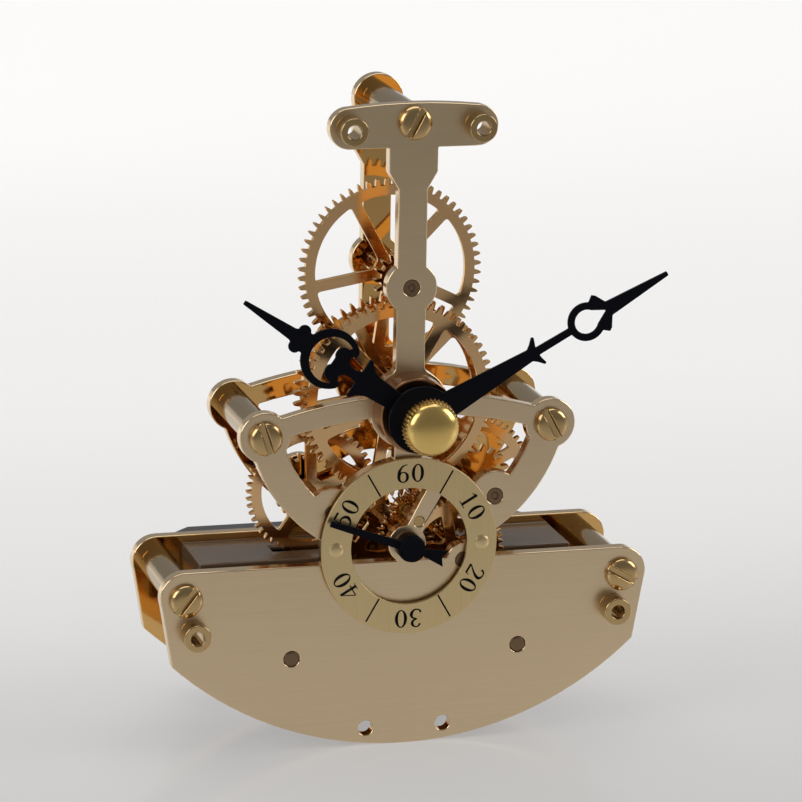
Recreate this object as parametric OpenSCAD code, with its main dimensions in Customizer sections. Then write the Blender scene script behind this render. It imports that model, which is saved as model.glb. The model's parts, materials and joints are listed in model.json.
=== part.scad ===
// Gold skeleton clock movement on a rocker-shaped base, with hour, minute and second hands.
// Millimetres. X is to the right, Z is up and the hands face -Y.
// The origin is the middle of the footprint, at the height of the lowest point of the base.
// Depths are measured backwards from the front face of the front plate.

/* [Plates] */
// Thickness of each plate
plate_t = 2.5; // [2:0.1:3]
// Clear space between the two plates
plate_gap = 21.7; // [21.4:0.1:24]
// Radius of the rocker edge under the base
base_r = 62.5; // [60:0.5:70]
// Height of the top edge of the base
base_top = 34.4; // [33.6:0.1:35]
// Height of the base pillars
base_pillar_z = 29.4; // [29:0.1:30]
// Slant of the short ends of the base, sideways, down to the rocker edge
base_end_slant = 2.4; // [0:0.1:4]
// Radius of the plate around each pillar screw
lug_r = 4.6; // [4:0.1:5.2]
// Distance of the ear pillars from the middle
ear_x = 26.3; // [25.5:0.1:28]
// Height of the ear pillars
ear_z = 58.3; // [57:0.1:60]
// Height of the middle of the fan frame
fan_z = 63.8; // [63.4:0.1:64.2]
// Outer radius of the fan frame
fan_r = 29.6; // [29:0.1:31]
// Width of the curved lower arms of the fan frame
fan_arm_w = 5.8; // [5:0.1:6.5]
// Height of the crown of the upper arms above the middle of the fan frame
arm_rise = 1.2; // [0.8:0.1:2]
// Width of the upper arms
arm_w = 3.8; // [3:0.1:5]
// Radius of the arch of the upper arms
arm_arch_r = 84; // [75:1:100]
// Radius of the plate around the hand axis
hub_r = 7.3; // [7:0.1:8]
// Radius of the plate around the wheel pivots
pivot_boss_r = 4.65; // [4:0.05:5]
// Width of the slim part of the upright strut
strut_w = 5.3; // [4.5:0.1:6]
// Width of the strut under the cross bar
strut_top_w = 8.9; // [7:0.1:10]
// Height at which the strut starts to widen
strut_taper_z = 102; // [98:0.5:103]
// Rise over which the strut widens
strut_taper_h = 3.1; // [2:0.1:4]
// Distance of the standoffs on the cross bar from the middle
tee_x = 11.65; // [11:0.05:13]
// Height of the standoffs on the cross bar
tee_z = 113.1; // [112:0.1:114]
// Radius of the ends of the cross bar
tee_end_r = 3.65; // [3.4:0.05:4]
// Rise of the arched top of the cross bar in its middle
tee_rise = 0.65; // [0.3:0.05:1.2]
// Height of the top pillar above the cross bar's standoffs
top_pillar_rise = 0.8; // [0:0.1:1.2]
// Distance of the two holes near the rocker edge from the middle
foot_hole_x = 7.2; // [6:0.1:9]
// Height of the two holes near the rocker edge
foot_hole_z = 3.3; // [3.2:0.1:4]
// Radius of the two holes near the rocker edge
foot_hole_r = 1.4; // [1.2:0.05:1.6]

/* [Pillars and screws] */
// Radius of the pillars between the plates
pillar_r = 3.0; // [2.6:0.1:3.4]
// Radius of the screw shanks
screw_r = 1.5; // [1.2:0.05:1.6]
// Radius of the screw heads
screw_head_r = 3.0; // [2.7:0.1:3.3]
// Height of the screw heads
screw_head_h = 1.7; // [1.4:0.1:2]
// Length of screw in the pillar
screw_grip = 6; // [4:0.5:8]
// Width of the screwdriver slot
slot_w = 1.1; // [0.8:0.05:1.2]
// Radius of the standoffs
standoff_r = 2.5; // [2.3:0.05:2.8]
// Height of the standoffs in front of the plate
standoff_h = 3.5; // [3:0.1:4.5]
// Radius of the tapped hole in the standoffs
standoff_hole_r = 1.25; // [1:0.05:1.4]
// Distance of the standoffs on the base from the base pillars, towards the middle
base_standoff_inset = 1.5; // [0.5:0.1:2.5]
// Height of the standoffs on the base
base_standoff_z = 23.2; // [22.5:0.1:23.4]

/* [Wheel axes] */
// Height of the hand axis
hand_z = 62.4; // [62.3:0.1:63]
// Height of the motion work axis above the hand axis
motion_rise = 21.9; // [21.4:0.1:22]
// Height of the seconds axis
seconds_z = 37.4; // [37.2:0.1:37.8]
// Distance of the third arbor to the right
third_x = 16.2; // [15.9:0.1:16.5]
// Height of the third arbor
third_z = 45.4; // [45.2:0.1:45.8]
// Distance of the fourth arbor to the right
fourth_x = 10.6; // [10.5:0.1:10.9]
// Height of the fourth arbor
fourth_z = 33.8; // [33.6:0.1:33.9]
// Distance of the drive arbor to the left
drive_x = 13.7; // [13.4:0.1:14]
// Height of the drive arbor
drive_z = 43.8; // [43.6:0.1:44.2]

/* [Wheels] */
// Thickness of the wheels
wheel_t = 1.2; // [0.9:0.1:1.3]
// How much longer than its wheel each pinion is
pinion_extra = 0.5; // [0.3:0.05:0.6]
// Width of the wheel rims inside the teeth
rim_w = 1.8; // [1.4:0.1:2]
// Width of the wheel spokes
spoke_w = 2; // [1.4:0.1:2.2]
// Radius of the wheel hubs
wheel_hub_r = 2.4; // [2.2:0.1:2.6]
// Tooth module of the seconds pinion and reversing pinion
reverse_module = 0.38; // [0.37:0.005:0.39]
// Height of a tooth above the pitch circle, in modules
tooth_top = 0.95; // [0.85:0.05:1.05]
// Depth of a tooth below the pitch circle, in modules
tooth_root = 1.25; // [1.2:0.05:1.4]
// Radius of the arbors
arbor_r = 0.8; // [0.75:0.05:0.9]
// Radius of the pivots at the arbor ends
pivot_r = 0.6; // [0.5:0.05:0.65]
// Radius of the pivot bushes
bush_r = 1.5; // [1.4:0.05:1.7]

/* [Levels] */
// Depth of the hour wheel behind the front plate
hour_level = 5.5; // [5.4:0.1:5.8]
// Depth of the fourth wheel behind the front plate
fourth_level = 4.9; // [4.7:0.1:5]
// Depth of the seconds pinion behind the front plate
reverse_level = 8.0; // [7.8:0.1:8.2]
// Depth of the centre wheel behind the front plate
centre_level = 10.3; // [10.2:0.1:10.4]
// Depth of the motion wheel behind the front plate
motion_level = 12.5; // [12.4:0.1:12.7]
// Depth of the third wheel behind the front plate
third_level = 12.7; // [12.6:0.1:12.8]
// Depth of the drive wheel behind the front plate
drive_level = 13.9; // [13.7:0.1:14]
// Depth of the seconds wheel behind the front plate
seconds_level = 16.7; // [16.5:0.1:16.9]

/* [Hands] */
// Length of the boss in front of the front plate
boss_l = 5.5; // [4.5:0.1:6]
// Radius of the boss
boss_r = 6.8; // [6:0.1:7]
// Radius of the centre arbor
centre_r = 1.2; // [1:0.05:1.3]
// Radius of the hour pipe
pipe_r = 2.4; // [2.2:0.05:2.6]
// Thickness of the hands
hand_t = 0.6; // [0.5:0.05:0.8]
// Length of the minute hand
minute_l = 50.9; // [46:0.1:52]
// Angle of the minute hand clockwise from twelve
minute_angle = 61.1; // [0:0.1:360]
// Radius of the hub of the minute hand
minute_hub_r = 6.1; // [5.8:0.1:7]
// Length of the hour hand
hour_l = 38.8; // [36:0.1:40]
// Angle of the hour hand clockwise from twelve
hour_angle = 304.9; // [0:0.1:360]
// Radius of the hub of the hour hand
hour_hub_r = 5.6; // [5:0.1:6]
// Radius of the hand nut
nut_r = 5.2; // [5:0.1:6]
// Length of the hand nut
nut_l = 8.5; // [8:0.1:9.5]
// Length of the second hand
second_l = 15.9; // [14:0.1:17]
// Angle of the second hand clockwise from twelve
second_angle = 290; // [0:0.1:360]
// Radius of the hub of the second hand
second_hub_r = 2.5; // [2:0.1:3]
// Radius of the setting knob at the back
knob_r = 5; // [4:0.1:6]
// Length of the setting knob
knob_l = 6; // [4:0.1:8]

/* [Seconds dial] */
// Outer radius of the seconds dial
dial_r = 16.25; // [15.8:0.05:16.4]
// Width of the dial ring
dial_w = 5.5; // [5:0.05:5.6]
// Thickness of the dial ring
dial_t = 0.8; // [0.5:0.05:1]
// Gap between the dial and the front plate
dial_gap = 0.6; // [0.4:0.05:1.2]
// Radius of the rivet shanks that hold the dial
rivet_r = 0.9; // [0.7:0.05:1]
// Radius of the rivet heads
rivet_head_r = 1.4; // [1.2:0.05:1.6]

/* [Motor case] */
// Clearance between the motor case and the left base pillar
case_left_clear = 1.5; // [1:0.1:2.5]
// Clearance between the motor case and the right base pillar
case_right_clear = 4; // [2.5:0.1:5.5]
// Height of the underside of the motor case
case_bottom = 14; // [13:0.1:14.5]
// Height of the top of the motor case
case_top = 33.2; // [32.9:0.1:33.4]
// Depth of the front of the motor case behind the front plate
case_set_back = 6.5; // [6.2:0.1:6.8]
// Wall of the motor case
case_wall = 1.2; // [1:0.05:1.4]
// Thickness of the motor lid
lid_t = 1.2; // [1:0.05:1.5]
// Distance of the locating pegs from the middle
peg_x = 21.1; // [20:0.1:22]
// Height of the locating pegs
peg_z = 17.25; // [17:0.05:18]
// Radius of the locating pegs
peg_r = 1.45; // [1.2:0.05:1.6]
// Radius of the rotor magnet
magnet_r = 1.6; // [1.4:0.05:1.65]
// Radius of the coil
coil_r = 3.6; // [3:0.1:4]
// Length of the coil
coil_l = 20; // [16:0.5:21]

/* [Battery box] */
// Half length of the battery box
box_half = 35.3; // [34:0.1:36.5]
// Clearance between the battery box and the heads of the base screws
box_clear = 2.2; // [1:0.1:3]
// Height of the top of the battery box
box_top = 30.6; // [29.5:0.1:31.5]
// Wall of the battery box
box_wall = 1.5; // [1.2:0.1:2]
// Cut of the back corners of the battery box
box_chamfer = 4.5; // [2:0.1:5]
// Radius of the battery cell
cell_r = 7.1; // [7:0.05:7.25]
// Length of the battery cell without its button
cell_l = 49.2; // [48:0.1:50]

/* [Hidden] */
$fn = 64;

// Clearances
fit = 0.01;
running = 0.05;
end_play = 0.3;
hole_play = 0.1;

// Depths of the plate faces
front_in = plate_t;
rear_in = plate_t + plate_gap;
rear_out = rear_in + plate_t;

// Depths along the hand axis, from the boss to the tip of the nut
pipe_collar = 0.4;
hour_hand_back = -boss_l - end_play - pipe_collar;
hour_hand_front = hour_hand_back - hand_t;
pipe_front = hour_hand_front - 0.4;
arbor_collar = 0.6;
minute_hand_back = pipe_front - end_play - arbor_collar;
minute_hand_front = minute_hand_back - hand_t;
nut_front = minute_hand_front - nut_l;
box_depth = 2 * (cell_r + end_play) + box_wall;
box_back = rear_out + box_depth;

// The depth that puts the footprint's middle on the origin
mid_depth = (nut_front + box_back) / 2;

// The base pillars stand clear of the battery box, and the motor case lies between them
base_pillar_x = box_half + box_clear + screw_head_r;
base_standoff_x = base_pillar_x - base_standoff_inset;
case_left = base_pillar_x - pillar_r - case_left_clear;
case_right = base_pillar_x - pillar_r - case_right_clear;

// Axes in the plane of the plates
HAND = [0, hand_z];
FAN = [0, fan_z];
MOTION = [0, hand_z + motion_rise];
SECONDS = [0, seconds_z];
THIRD = [third_x, third_z];
FOURTH = [fourth_x, fourth_z];
DRIVE = [-drive_x, drive_z];

// Tooth counts
rotor_n = 9;
drive_n = 54;
drive_pinion_n = 24;
seconds_n = 36;
seconds_pinion_n = 12;
reverse_n = 12;
fourth_n = 48;
fourth_pinion_n = 10;
third_n = 50;
third_pinion_n = 19;
centre_n = 57;
cannon_n = 20;
motion_n = 60;
motion_pinion_n = 16;
hour_n = 64;

// Tooth shape: share of the pitch that a tooth fills at its root, pitch circle, shoulder and tip
tooth_fill_root = 0.54;
tooth_fill_pitch = 0.38;
tooth_fill_shoulder = 0.27;
tooth_fill_tip = 0.14;
// Share of the height above the pitch circle at which the shoulder lies
tooth_shoulder = 0.6;

// Direction from one axis to another, and the tooth module of a pair on them
function towards(p, q) = atan2(q[1] - p[1], q[0] - p[0]);
function pair_module(p, q, n1, n2) = 2 * norm(q - p) / (n1 + n2);
// Angle of a wheel with n2 teeth that meshes with one of n1 teeth at angle a1, lying in direction d from it
function meshed(a1, n1, n2, d) = d + 180 - ((a1 - d) * n1 + 180) / n2;
function pitch_r(n, m) = n * m / 2;
function tip_r(n, m) = pitch_r(n, m) + tooth_top * m;
function root_r(n, m) = pitch_r(n, m) - tooth_root * m;
// Place at two given distances from two axes, on the left of the way from the first to the second
function beside(p, q, rp, rq) =
  let (d = norm(q - p), e = (q - p) / d, a = (rp * rp - rq * rq + d * d) / (2 * d), h = sqrt(rp * rp - a * a))
  p + a * e + h * [-e[1], e[0]];

drive_seconds_m = pair_module(DRIVE, SECONDS, drive_pinion_n, seconds_n);
fourth_third_m = pair_module(FOURTH, THIRD, fourth_pinion_n, third_n);
third_centre_m = pair_module(THIRD, HAND, third_pinion_n, centre_n);
cannon_motion_m = pair_module(HAND, MOTION, cannon_n, motion_n);
motion_hour_m = pair_module(MOTION, HAND, motion_pinion_n, hour_n);
rotor_module = 0.435;

// The reversing pinion touches the seconds pinion and the fourth wheel
REVERSE = beside(SECONDS, FOURTH, pitch_r(seconds_pinion_n + reverse_n, reverse_module),
                 pitch_r(reverse_n + fourth_n, reverse_module));
// The rotor hangs almost straight below the drive wheel
rotor_lean = -93;
ROTOR = DRIVE + pitch_r(rotor_n + drive_n, rotor_module) * [cos(rotor_lean), sin(rotor_lean)];

// Angle of each meshed wheel at rest, its pinion's first tooth lying at zero
drive_phase = meshed(0, rotor_n, drive_n, towards(ROTOR, DRIVE));
seconds_phase = meshed(0, drive_pinion_n, seconds_n, towards(DRIVE, SECONDS));
reverse_phase = meshed(0, seconds_pinion_n, reverse_n, towards(SECONDS, REVERSE));
fourth_phase = meshed(reverse_phase, reverse_n, fourth_n, towards(REVERSE, FOURTH));
third_phase = meshed(0, fourth_pinion_n, third_n, towards(FOURTH, THIRD));
centre_phase = meshed(0, third_pinion_n, centre_n, towards(THIRD, HAND));
motion_phase = meshed(0, cannon_n, motion_n, towards(HAND, MOTION));
hour_phase = meshed(0, motion_pinion_n, hour_n, towards(MOTION, HAND));

PILLARS = [
  [0, tee_z + top_pillar_rise], [-ear_x, ear_z], [ear_x, ear_z],
  [-base_pillar_x, base_pillar_z], [base_pillar_x, base_pillar_z]
];
TEE_STANDOFFS = [[-tee_x, tee_z], [tee_x, tee_z]];
BASE_STANDOFFS = [[-base_standoff_x, base_standoff_z], [base_standoff_x, base_standoff_z]];
PEGS = [[-peg_x, peg_z], [peg_x, peg_z]];
rivet_x = dial_r - dial_w / 2;
RIVETS = [SECONDS - [rivet_x, 0], SECONDS + [rivet_x, 0]];
pinion_l = wheel_t + pinion_extra;
bolted_hole_r = screw_r + hole_play;
seconds_hub_r = 3.5;
fourth_boss_r = 3.2;
dial_seat_w = 4.9;
reverse_arm_w = 3.2;
stud_r = 1.0;
spigot_r = standoff_r - 0.7;
boss_spigot_r = hub_r - 2.6;
centre_bush_r = centre_r + 1.3;

// Solid between two depths, drawn as seen from the front
module slab(from, to)
  translate([0, to - mid_depth, 0]) rotate([90, 0, 0]) linear_extrude(to - from) children();

// One solid from several outlines between two depths
module slabs(from, to)
  for (i = [0:$children - 1]) slab(from, to) children(i);

// Turns a piece that is drawn pointing up clockwise about an axis
module on_axis(p, angle)
  translate([p[0], 0, p[1]]) rotate([0, angle, 0]) children();

// Round bar along the depth
module bar(p, from, to, r) slab(from, to) translate(p) circle(r);

// Tube along the depth
module tube(p, from, to, r, bore)
  slab(from, to) translate(p) difference() {
    circle(r);
    circle(bore);
  }

// Turned piece on an axis: the profile's first number is a radius and its second is a depth
module turned(p, profile)
  translate([p[0], -mid_depth, p[1]]) rotate([-90, 0, 0]) rotate_extrude() polygon(profile);

module holes(places, r)
  for (p = places) translate(p) circle(r);

// Outline of a toothed wheel, with narrow teeth that are rounded off by their shoulders
module teeth(n, m, phase) {
  step = 360 / n;
  flanks = [
    [root_r(n, m), tooth_fill_root], [pitch_r(n, m), tooth_fill_pitch],
    [pitch_r(n, m) + tooth_shoulder * tooth_top * m, tooth_fill_shoulder], [tip_r(n, m), tooth_fill_tip]
  ];
  polygon([for (i = [0:n - 1], side = [-1, 1], k = side < 0 ? [0, 1, 2, 3] : [3, 2, 1, 0])
    let (a = phase + step * (i + side * flanks[k][1] / 2))
    flanks[k][0] * [cos(a), sin(a)]]);
}

// Openings between the spokes of a wheel
module crossings(rim, hub, spokes, angle)
  difference() {
    circle(rim);
    circle(hub);
    for (i = [0:spokes - 1])
      rotate(angle + 360 * i / spokes) translate([0, -spoke_w / 2]) square([rim, spoke_w]);
  }

// Spoked wheel at a level behind the front plate
module wheel(p, level, n, m, phase, spokes, angle, bore, hub)
  color("goldenrod")
    slab(front_in + level - wheel_t / 2, front_in + level + wheel_t / 2) translate(p) difference() {
      teeth(n, m, phase);
      crossings(root_r(n, m) - rim_w, hub, spokes, angle);
      circle(bore);
    }

// Pinion at a level behind the front plate
module pinion(p, level, n, m, phase, bore, length = pinion_l)
  color("darkgoldenrod")
    slab(front_in + level - length / 2, front_in + level + length / 2) translate(p) difference() {
      teeth(n, m, phase);
      circle(bore);
    }

// Arbor with a pivot at each end, running in the bushes of both plates
module arbor(p)
  color("goldenrod") {
    bar(p, 0.2, front_in + end_play, pivot_r);
    bar(p, front_in + end_play, rear_in - end_play, arbor_r);
    bar(p, rear_in - end_play, rear_out - 0.2, pivot_r);
  }

// Half-moon base with a rocker edge below; its upper corners are rounded by the corner circles
base_end_x = base_pillar_x + lug_r;
base_shoulder_z = base_top - lug_r;
BASE_CORNERS = [[-base_pillar_x, base_shoulder_z], [base_pillar_x, base_shoulder_z]];
module base_outline() {
  low_x = base_end_x - base_end_slant;
  low_z = base_standoff_z - 3 * standoff_r;
  intersection() {
    translate([0, base_r]) circle(base_r, $fn = 128);
    polygon([
      [-base_pillar_x, base_top], [base_pillar_x, base_top], [base_end_x, base_shoulder_z], [low_x, low_z],
      [low_x, 0], [-low_x, 0], [-low_x, low_z], [-base_end_x, base_shoulder_z]
    ]);
  }
}

// Opening in the seat of the seconds dial, around its hub, the arm of the reversing stud and a pivot boss
module seat_opening()
  difference() {
    translate(SECONDS) circle(dial_r - dial_seat_w);
    translate([-dial_r, base_top - dial_r]) square([2 * dial_r, dial_r]);
    translate(SECONDS) circle(seconds_hub_r);
    translate(SECONDS) rotate(towards(SECONDS, REVERSE)) translate([0, -reverse_arm_w / 2])
      square([dial_r - dial_seat_w / 2, reverse_arm_w]);
    translate(FOURTH) circle(fourth_boss_r);
  }
module seat_outline()
  difference() {
    translate(SECONDS) circle(dial_r - end_play);
    seat_opening();
  }

// Fan frame: its arms go round two windows and meet the seat of the seconds dial
module fan_outline() {
  arch_z = fan_z + arm_rise;
  difference() {
    intersection() {
      translate(FAN) circle(fan_r, $fn = 128);
      translate([0, arch_z - arm_arch_r]) circle(arm_arch_r, $fn = 128);
      translate([-fan_r, base_top - plate_t]) square([2 * fan_r, arch_z]);
    }
    difference() {
      intersection() {
        translate(FAN) circle(fan_r - fan_arm_w, $fn = 128);
        translate([0, arch_z - arm_w - arm_arch_r]) circle(arm_arch_r, $fn = 128);
        translate([-fan_r, base_top]) square([2 * fan_r, arch_z]);
      }
      translate(DRIVE) circle(pivot_boss_r);
      translate(THIRD) circle(pivot_boss_r);
      translate(HAND) circle(hub_r);
      translate([-strut_w / 2, seconds_z + dial_r / 2]) square([strut_w, hand_z - seconds_z]);
    }
    seat_opening();
  }
}

// Upright strut, flared into the hub below and widened under the top
module strut_outline() {
  half = strut_w / 2;
  wide = strut_top_w / 2;
  flare_x = hub_r * 0.75;
  flare_z = hand_z + hub_r * 0.5;
  slim_z = hand_z + hub_r;
  polygon([
    [-half, hand_z], [-flare_x, flare_z], [-half, slim_z], [-half, strut_taper_z],
    [-wide, strut_taper_z + strut_taper_h], [-wide, tee_z], [wide, tee_z],
    [wide, strut_taper_z + strut_taper_h], [half, strut_taper_z], [half, slim_z], [flare_x, flare_z],
    [half, hand_z]
  ]);
}

// Cross bar on top of the front strut, arched along its top edge
module tee_outline() {
  top = tee_z + tee_end_r + tee_rise;
  arch_r = (tee_x * tee_x + tee_rise * tee_rise) / (2 * tee_rise);
  intersection() {
    translate([0, top - arch_r]) circle(arch_r, $fn = 128);
    translate([-tee_x, tee_z - tee_end_r]) square([2 * tee_x, 2 * tee_end_r + tee_rise]);
  }
}

// What both plates share: outline, screw holes, peg holes, bush holes and the holes near the rocker edge
module plate_body(from, to)
  difference() {
    slabs(from, to) {
      base_outline();
      holes(BASE_CORNERS, lug_r);
      fan_outline();
      seat_outline();
      holes([PILLARS[1], PILLARS[2]], lug_r);
      strut_outline();
      translate(MOTION) circle(pivot_boss_r);
      translate(HAND) circle(hub_r);
    }
    slab(from - 1, to + 1) {
      holes(PILLARS, bolted_hole_r);
      holes([[-foot_hole_x, foot_hole_z], [foot_hole_x, foot_hole_z]], foot_hole_r);
      holes(PEGS, peg_r + fit);
      holes([MOTION, SECONDS, THIRD, FOURTH, DRIVE], bush_r + fit);
    }
  }

module front_plate()
  color("tan") difference() {
    union() {
      plate_body(0, front_in);
      difference() {
        slabs(0, front_in) {
          tee_outline();
          holes(TEE_STANDOFFS, tee_end_r);
        }
        bar(PILLARS[0], -1, front_in + 1, bolted_hole_r);
      }
    }
    slab(-1, front_in + 1) {
      holes(concat(TEE_STANDOFFS, BASE_STANDOFFS), spigot_r + fit);
      holes(RIVETS, rivet_r + fit);
      translate(REVERSE) circle(stud_r + fit);
      translate(HAND) circle(boss_spigot_r + fit);
    }
  }

module rear_plate()
  color("tan") difference() {
    union() {
      plate_body(rear_in, rear_out);
      tube(PILLARS[0], rear_in, rear_out, lug_r, bolted_hole_r);
    }
    bar(HAND, rear_in - 1, rear_out + 1, centre_bush_r + fit);
  }

// Pillar with a tapped hole in each end
module pillar(p)
  color("tan") difference() {
    bar(p, front_in, rear_in, pillar_r);
    bar(p, front_in - 1, front_in + screw_grip + 1, screw_r + fit);
    bar(p, rear_in - screw_grip - 1, rear_in + 1, screw_r + fit);
  }

module top_pillar() pillar(PILLARS[0]);
module left_ear_pillar() pillar(PILLARS[1]);
module right_ear_pillar() pillar(PILLARS[2]);
module left_base_pillar() pillar(PILLARS[3]);
module right_base_pillar() pillar(PILLARS[4]);

// Slotted pan-head screw that enters at one face; out is -1 at the front and 1 at the back
module screw(p, face, out, turn) {
  head_edge = screw_head_h * 0.45;
  slot_floor = screw_head_h * 0.4;
  shank = plate_t + screw_grip;
  difference() {
    turned(p, [
      [0, face - out * shank], [screw_r, face - out * shank], [screw_r, face], [screw_head_r, face],
      [screw_head_r, face + out * head_edge], [screw_head_r * 0.93, face + out * screw_head_h * 0.68],
      [screw_head_r * 0.76, face + out * screw_head_h * 0.87],
      [screw_head_r * 0.45, face + out * screw_head_h * 0.97], [0, face + out * screw_head_h]
    ]);
    slab(min(face + out * slot_floor, face + out * 3 * screw_head_h),
         max(face + out * slot_floor, face + out * 3 * screw_head_h))
      translate(p) rotate(turn) square([3 * screw_head_r, slot_w], center = true);
  }
}

screw_turns = [62, 108, 118, 52, 150];
module front_screws()
  color("goldenrod") for (i = [0:len(PILLARS) - 1]) screw(PILLARS[i], 0, -1, screw_turns[i]);
module rear_screws()
  color("goldenrod") for (i = [0:len(PILLARS) - 1]) screw(PILLARS[i], rear_out, 1, screw_turns[i] + 40);

// Tapped standoff riveted into the front plate
module standoff(p) {
  tube(p, -standoff_h, 0, standoff_r, standoff_hole_r);
  tube(p, 0, front_in, spigot_r, standoff_hole_r);
}
module tee_standoffs() color("goldenrod") for (p = TEE_STANDOFFS) standoff(p);
module base_standoffs() color("goldenrod") for (p = BASE_STANDOFFS) standoff(p);

bush_recess = 0.1;
module front_bushes()
  color("sienna") {
    for (p = [MOTION, THIRD, FOURTH, DRIVE]) tube(p, bush_recess, front_in, bush_r, pivot_r + running);
    tube(SECONDS, 0, front_in, bush_r, arbor_r + running);
    tube(SECONDS, -dial_gap, 0, seconds_hub_r - 1, arbor_r + running);
  }
module rear_bushes()
  color("sienna") {
    for (p = [MOTION, THIRD, FOURTH, DRIVE, SECONDS])
      tube(p, rear_in, rear_out - bush_recess, bush_r, pivot_r + running);
    tube(HAND, rear_in, rear_out, centre_bush_r, centre_r + running);
  }

// Boss that carries the hour pipe
module hand_boss()
  color("tan") {
    tube(HAND, -boss_l, 0, boss_r, pipe_r + running);
    tube(HAND, 0, front_in, boss_spigot_r, pipe_r + running);
  }

module seconds_dial()
  color("khaki") slab(-dial_gap - dial_t, -dial_gap) difference() {
    translate(SECONDS) circle(dial_r, $fn = 128);
    translate(SECONDS) circle(dial_r - dial_w, $fn = 128);
    holes(RIVETS, rivet_r + fit);
  }

// Rivets with a spacer under the dial
spacer_r = rivet_r * 1.9;
rivet_head_h = rivet_head_r * 0.3;
module dial_rivets() {
  dial_front = -dial_gap - dial_t;
  color("goldenrod") for (p = RIVETS) turned(p, [
    [0, front_in * 0.9], [rivet_r, front_in * 0.9], [rivet_r, 0], [spacer_r, 0],
    [spacer_r, -dial_gap], [rivet_r, -dial_gap], [rivet_r, dial_front],
    [rivet_head_r, dial_front], [rivet_head_r * 0.6, dial_front - rivet_head_h * 0.75],
    [0, dial_front - rivet_head_h]
  ]);
}

// The reversing pinion bridges the fourth wheel and the seconds pinion
reverse_from = front_in + fourth_level - pinion_l / 2;
reverse_to = front_in + reverse_level + pinion_l / 2;
clip_t = 0.6;
module reverse_stud()
  color("goldenrod") {
    bar(REVERSE, 0.2, front_in, stud_r);
    bar(REVERSE, front_in, reverse_from - end_play, reverse_arm_w / 2);
    bar(REVERSE, reverse_from - end_play, reverse_to + end_play + clip_t, arbor_r);
  }
module reverse_clip()
  color("gray") tube(REVERSE, reverse_to + end_play, reverse_to + end_play + clip_t,
                     reverse_arm_w / 2, arbor_r + fit);
module reverse_pinion()
  pinion(REVERSE, (fourth_level + reverse_level) / 2, reverse_n, reverse_module, reverse_phase,
         arbor_r + running, reverse_to - reverse_from);

// Motor case: a shell between the plates with a bay for the wheels and a slot for the drive wheel
case_front = front_in + case_set_back;
lid_front = rear_in - lid_t;
wheel_room = 1.2;
bay_left = -tip_r(seconds_n, drive_seconds_m) - wheel_room / 2;
bay_right = fourth_x + tip_r(fourth_pinion_n, fourth_third_m) + wheel_room;
bay_floor = seconds_z - tip_r(seconds_n, drive_seconds_m) - wheel_room;
drive_low = drive_z - tip_r(drive_n, rotor_module) - wheel_room / 2;
slot_half = tip_r(drive_n, rotor_module) / 2 + wheel_room;
slot_t = wheel_t + 2 * wheel_room;

module case_outline(inset)
  difference() {
    translate([-case_left + inset, case_bottom + inset])
      square([case_left + case_right - 2 * inset, case_top - case_bottom - 2 * inset]);
    translate([bay_left - inset, bay_floor - inset])
      square([bay_right - bay_left + 2 * inset, case_top]);
  }

module motor_case()
  color("dimgray") {
    difference() {
      slab(case_front, lid_front) case_outline(0);
      slab(case_front + case_wall, lid_front + 1) case_outline(case_wall);
      slab(front_in + drive_level - slot_t / 2, front_in + drive_level + slot_t / 2)
        translate([-drive_x - slot_half, drive_low]) square([2 * slot_half, case_top]);
      bar(ROTOR, case_front + case_wall / 2, case_front + case_wall + 1, pivot_r + running);
    }
    for (p = PEGS) bar(p, 0, case_front, peg_r);
  }

module motor_lid()
  color("dimgray") difference() {
    slab(lid_front, rear_in) case_outline(0);
    bar(ROTOR, lid_front - 1, lid_front + lid_t / 2, pivot_r + running);
  }

// Rotor with its pinion, turning between the motor case and the lid
rotor_from = case_front + case_wall;
magnet_l = 3;
magnet_back = rotor_from + end_play + magnet_l;
module rotor_shaft()
  color("silver") {
    bar(ROTOR, case_front + case_wall / 2 + 0.1, lid_front + lid_t / 2 - 0.1, pivot_r);
    pinion(ROTOR, drive_level, rotor_n, rotor_module, 0, pivot_r - fit);
  }
module rotor_magnet()
  color("darkslategray") tube(ROTOR, rotor_from + end_play, magnet_back, magnet_r, pivot_r + fit);

// Stator plate around the magnet, with the core of the coil
core_h = 3;
core_z = (case_bottom + bay_floor) / 2;
stator_r = magnet_r + 0.4;
stator_t = magnet_l - 1;
stator_left = ROTOR[0] - 2.5 * stator_r;
stator_arm_w = 3.8 * stator_r;
coil_from = ROTOR[0] + 5 * stator_r;
module stator()
  color("silver") slab(rotor_from, rotor_from + stator_t) difference() {
    union() {
      translate([stator_left, core_z - core_h / 2])
        square([coil_from + coil_l + core_h - stator_left, core_h]);
      translate([stator_left, core_z]) square([stator_arm_w, ROTOR[1] - core_z + stator_r / 4]);
      translate([coil_from + coil_l, core_z - core_h]) square([core_h, 2 * core_h]);
    }
    translate(ROTOR) circle(stator_r);
    translate([ROTOR[0] - stator_r / 2, ROTOR[1]]) square([stator_r, core_h]);
  }

module coil()
  color("chocolate") {
    intersection() {
      difference() {
        translate([coil_from, rotor_from + stator_t / 2 - mid_depth, core_z]) rotate([0, 90, 0])
          cylinder(r = coil_r, h = coil_l);
        translate([coil_from - 1, rotor_from - fit - mid_depth, core_z - core_h / 2 - fit])
          cube([coil_l + 2, stator_t + 2 * fit, core_h + 2 * fit]);
      }
      translate([coil_from - 1, rotor_from - mid_depth, case_bottom])
        cube([coil_l + 2, 2 * coil_r, case_top]);
    }
  }

// Circuit board that lies on the lid, behind the coil
board_t = 1;
module circuit_board()
  color("darkgreen") slab(lid_front - board_t, lid_front)
    translate([coil_from, case_bottom + case_wall])
      square([case_right - case_wall - coil_from, bay_floor - case_bottom - 2 * case_wall]);

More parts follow.
